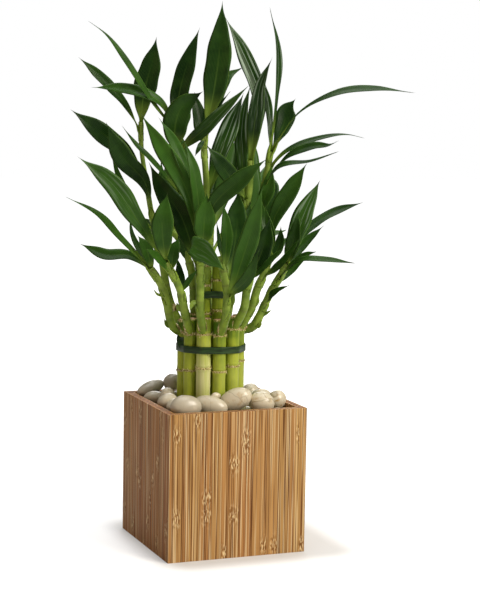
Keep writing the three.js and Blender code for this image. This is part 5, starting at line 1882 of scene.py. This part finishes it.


# Green bracts: short pointed scales low on the stems. Each row names its shoot, then holds the pixel
# where it leaves the stem and the pixels that it passes up to its tip, then the rest of a leaf row.
# A bract stands out in front of its stem by its lift, and further by a step at each point.
bracts = {
    "lift": 3.5,
    "liftStep": 1,
    "rows": [
        ("LeftLow", (170.5, 329), [(166.8, 324.5), (164, 318.5)], 4.5, 20, 0.45, 0.6),
        ("LeftLow", (163.5, 296.7), [(157, 294), (153.3, 288.5)], 2.6, 30, 0.45, 0.5),
        ("LeftFront", (183, 312), [(179, 308), (176.3, 302)], 5, 10, 0.5, 0.6),
        ("FrontBright", (200.5, 303), [(193, 303), (189.5, 311)], 4.5, 0, 0.5, 1),
        ("FrontCentre", (228, 312), [(232, 303), (235, 292)], 5.5, 30, 0.5, 0.15),
        ("RightLow", (259.5, 319), [(266, 313.5), (272.5, 309.5)], 3, 20, 0.45, 0.5),
        ("RightLow", (256, 327.5), [(259, 325), (261, 319.5)], 5, 10, 0.45, 0.7),
        ("RightInner", (253, 309), [(256, 303), (258.5, 294)], 5, 10, 0.5, 0.4),
    ],
}


def addBract(row, blades, draw):
    name, foot, pixels, *blade = row
    line, feet = stemOf(next(shoot for shoot in shoots if shoot["name"] == name))
    at = shareNearest(line, foot)
    depth = line.at(at).y - bracts["lift"]
    path = [placeSeenAt(*pixel, depth - bracts["liftStep"] * k, 1) for k, pixel in enumerate(pixels)]
    blades.addLeaf(line, feet, (at, path, *blade), draw)


stemsTree = stemTree()
leafDraw = random.Random(leaves["seed"])
for eachShoot in shoots:
    makeShoot(eachShoot, stemsTree, leafDraw)
scaleDraw = random.Random(scales["seed"])
dryScales = Blades()
for eachShoot in shoots:
    addScales(eachShoot, dryScales, scaleDraw)
settle(dryScales.makePiece("dryScales", finish["dry"]), "leaf")
greenBracts = Blades()
for bractRow in bracts["rows"]:
    addBract(bractRow, greenBracts, scaleDraw)
settle(greenBracts.makePiece("greenBracts", finish["stem"]), "leaf")
print("shoots grown")


# Studio: a pale floor that runs out into white. A large soft box to the right of the camera and one
# overhead leave the pot's left side in shade. A weak warm one fills it, and a weak one stands behind.
studio = {
    "floorHalf": 8,
    "floorColour": "#d3d3d1",
    # Where the floor's glow dips, as a painted shadow: the middle of a square round the pot and its half
    # width, in metres.
    "paintedShadeSquare": (0.02, 0, 0.0635),
    "leastGlow": 0.06,
    "nearGlow": 0.5,
    "nearReach": (0.008, 0.045),
    "farGlow": 0.4,
    "farReach": (0.3, 1.1),
    "backdrop": 1.0,
    "ambient": 0.14,
    "lens": 97.34,
    "cameraPlace": (-0.51007, -1.33548, 0.378),
    "cameraTurn": -21.7985,
    "lightsAim": (0, 0, 0.22),
    "softBoxes": [
        ("keyBox", (1.1, -1.7, 1.5), 1.1, 48, "#fff6ea"),
        ("topBox", (0.1, 0.1, 1.9), 1.5, 26, "#ffffff"),
        ("fillBox", (-1.9, -1.2, 0.9), 1.4, 4, "#ffc890"),
        ("rimBox", (0.7, 1.7, 1.3), 1.0, 10, "#ffffff"),
    ],
}


def makeFloor():
    reach = studio["floorHalf"]
    corners = [(-reach, -reach, 0), (reach, -reach, 0), (reach, reach, 0), (-reach, reach, 0)]
    floor = makePiece("floor", meshOf("floor", corners, [], [(0, 1, 2, 3)]))
    material, tree, shader, place = startMaterial("matteWhiteSweep", Roughness=0.9)
    shader.inputs["Base Color"].default_value = linear(studio["floorColour"])
    shader.inputs["Emission Color"].default_value = (1, 1, 1, 1)
    # The floor glows for the camera only, so that it runs out into white. The glow is least in a square
    # round the pot's foot, shifted to the right: there the rendered shadow shows, and the dip itself paints
    # a soft shadow.
    seen = addNode(tree, "ShaderNodeLightPath").outputs["Is Camera Ray"]
    middle, half = Vector((studio["paintedShadeSquare"][0], studio["paintedShadeSquare"][1], 0)), studio["paintedShadeSquare"][2]
    moved = addNode(tree, "ShaderNodeVectorMath", {0: place, 1: middle}, operation="SUBTRACT")
    positive = addNode(tree, "ShaderNodeVectorMath", {0: moved.outputs[0]}, operation="ABSOLUTE")
    past = addNode(tree, "ShaderNodeVectorMath", {
        0: positive.outputs[0], 1: (half, half, 0)}, operation="SUBTRACT")
    outside = addNode(tree, "ShaderNodeVectorMath", {
        0: past.outputs[0], 1: (0, 0, 0)}, operation="MAXIMUM")
    away = addNode(tree, "ShaderNodeVectorMath", {
        0: outside.outputs[0]}, operation="LENGTH").outputs["Value"]
    least, near, far = studio["leastGlow"], studio["nearReach"], studio["farReach"]
    nearGlow = addNode(tree, "ShaderNodeMapRange", {
        0: away, 1: near[0], 2: near[1], 3: least,
        4: least + studio["nearGlow"]}, interpolation_type="SMOOTHSTEP")
    farGlow = addNode(tree, "ShaderNodeMapRange", {
        0: away, 1: far[0], 2: far[1], 3: 0, 4: studio["farGlow"]})
    both = addNode(tree, "ShaderNodeMath", {0: nearGlow.outputs[0], 1: farGlow.outputs[0]}, operation="ADD")
    glow = addNode(tree, "ShaderNodeMath", {0: seen, 1: both.outputs[0]}, operation="MULTIPLY")
    tree.links.new(glow.outputs[0], shader.inputs["Emission Strength"])
    floor.data.materials.append(material)


def makeWorld():
    world = bpy.data.worlds.new("whiteRoom")
    bpy.context.scene.world = world
    world.use_nodes = True
    tree = world.node_tree
    tree.nodes.clear()
    seen = addNode(tree, "ShaderNodeLightPath").outputs["Is Camera Ray"]
    strength = addNode(tree, "ShaderNodeMapRange", {0: seen, 3: studio["ambient"], 4: studio["backdrop"]})
    light = addNode(tree, "ShaderNodeBackground", {"Color": (1, 1, 1, 1), "Strength": strength.outputs[0]})
    addNode(tree, "ShaderNodeOutputWorld", {0: light.outputs[0]})


def makeSoftBox(name, place, size, power, colour):
    data = bpy.data.lights.new(name, "AREA")
    data.shape = "SQUARE"
    data.size = size
    data.energy = power
    data.color = linear(colour)[:3]
    light = bpy.data.objects.new(name, data)
    aim = Vector(studio["lightsAim"]) - Vector(place)
    light.matrix_world = Matrix.Translation(place) @ aim.to_track_quat("-Z", "Y").to_matrix().to_4x4()
    bpy.context.scene.collection.objects.link(light)


# The camera stands where the picture was taken, with the picture's own dip and roll.
def makeCamera():
    data = bpy.data.cameras.new("camera")
    data.lens = studio["lens"]
    camera = bpy.data.objects.new("camera", data)
    camera.matrix_world = (
        Matrix.Translation(studio["cameraPlace"])
        @ Matrix.Rotation(math.radians(studio["cameraTurn"]), 4, "Z")
        @ Matrix.Rotation(math.pi / 2 - picture["dip"], 4, "X")
        @ Matrix.Rotation(picture["roll"], 4, "Z"))
    bpy.context.scene.collection.objects.link(camera)
    bpy.context.scene.camera = camera


makeFloor()
makeWorld()
for box in studio["softBoxes"]:
    makeSoftBox(*box)
makeCamera()
bpy.context.scene.view_settings.view_transform = "Standard"
print("studio lit")
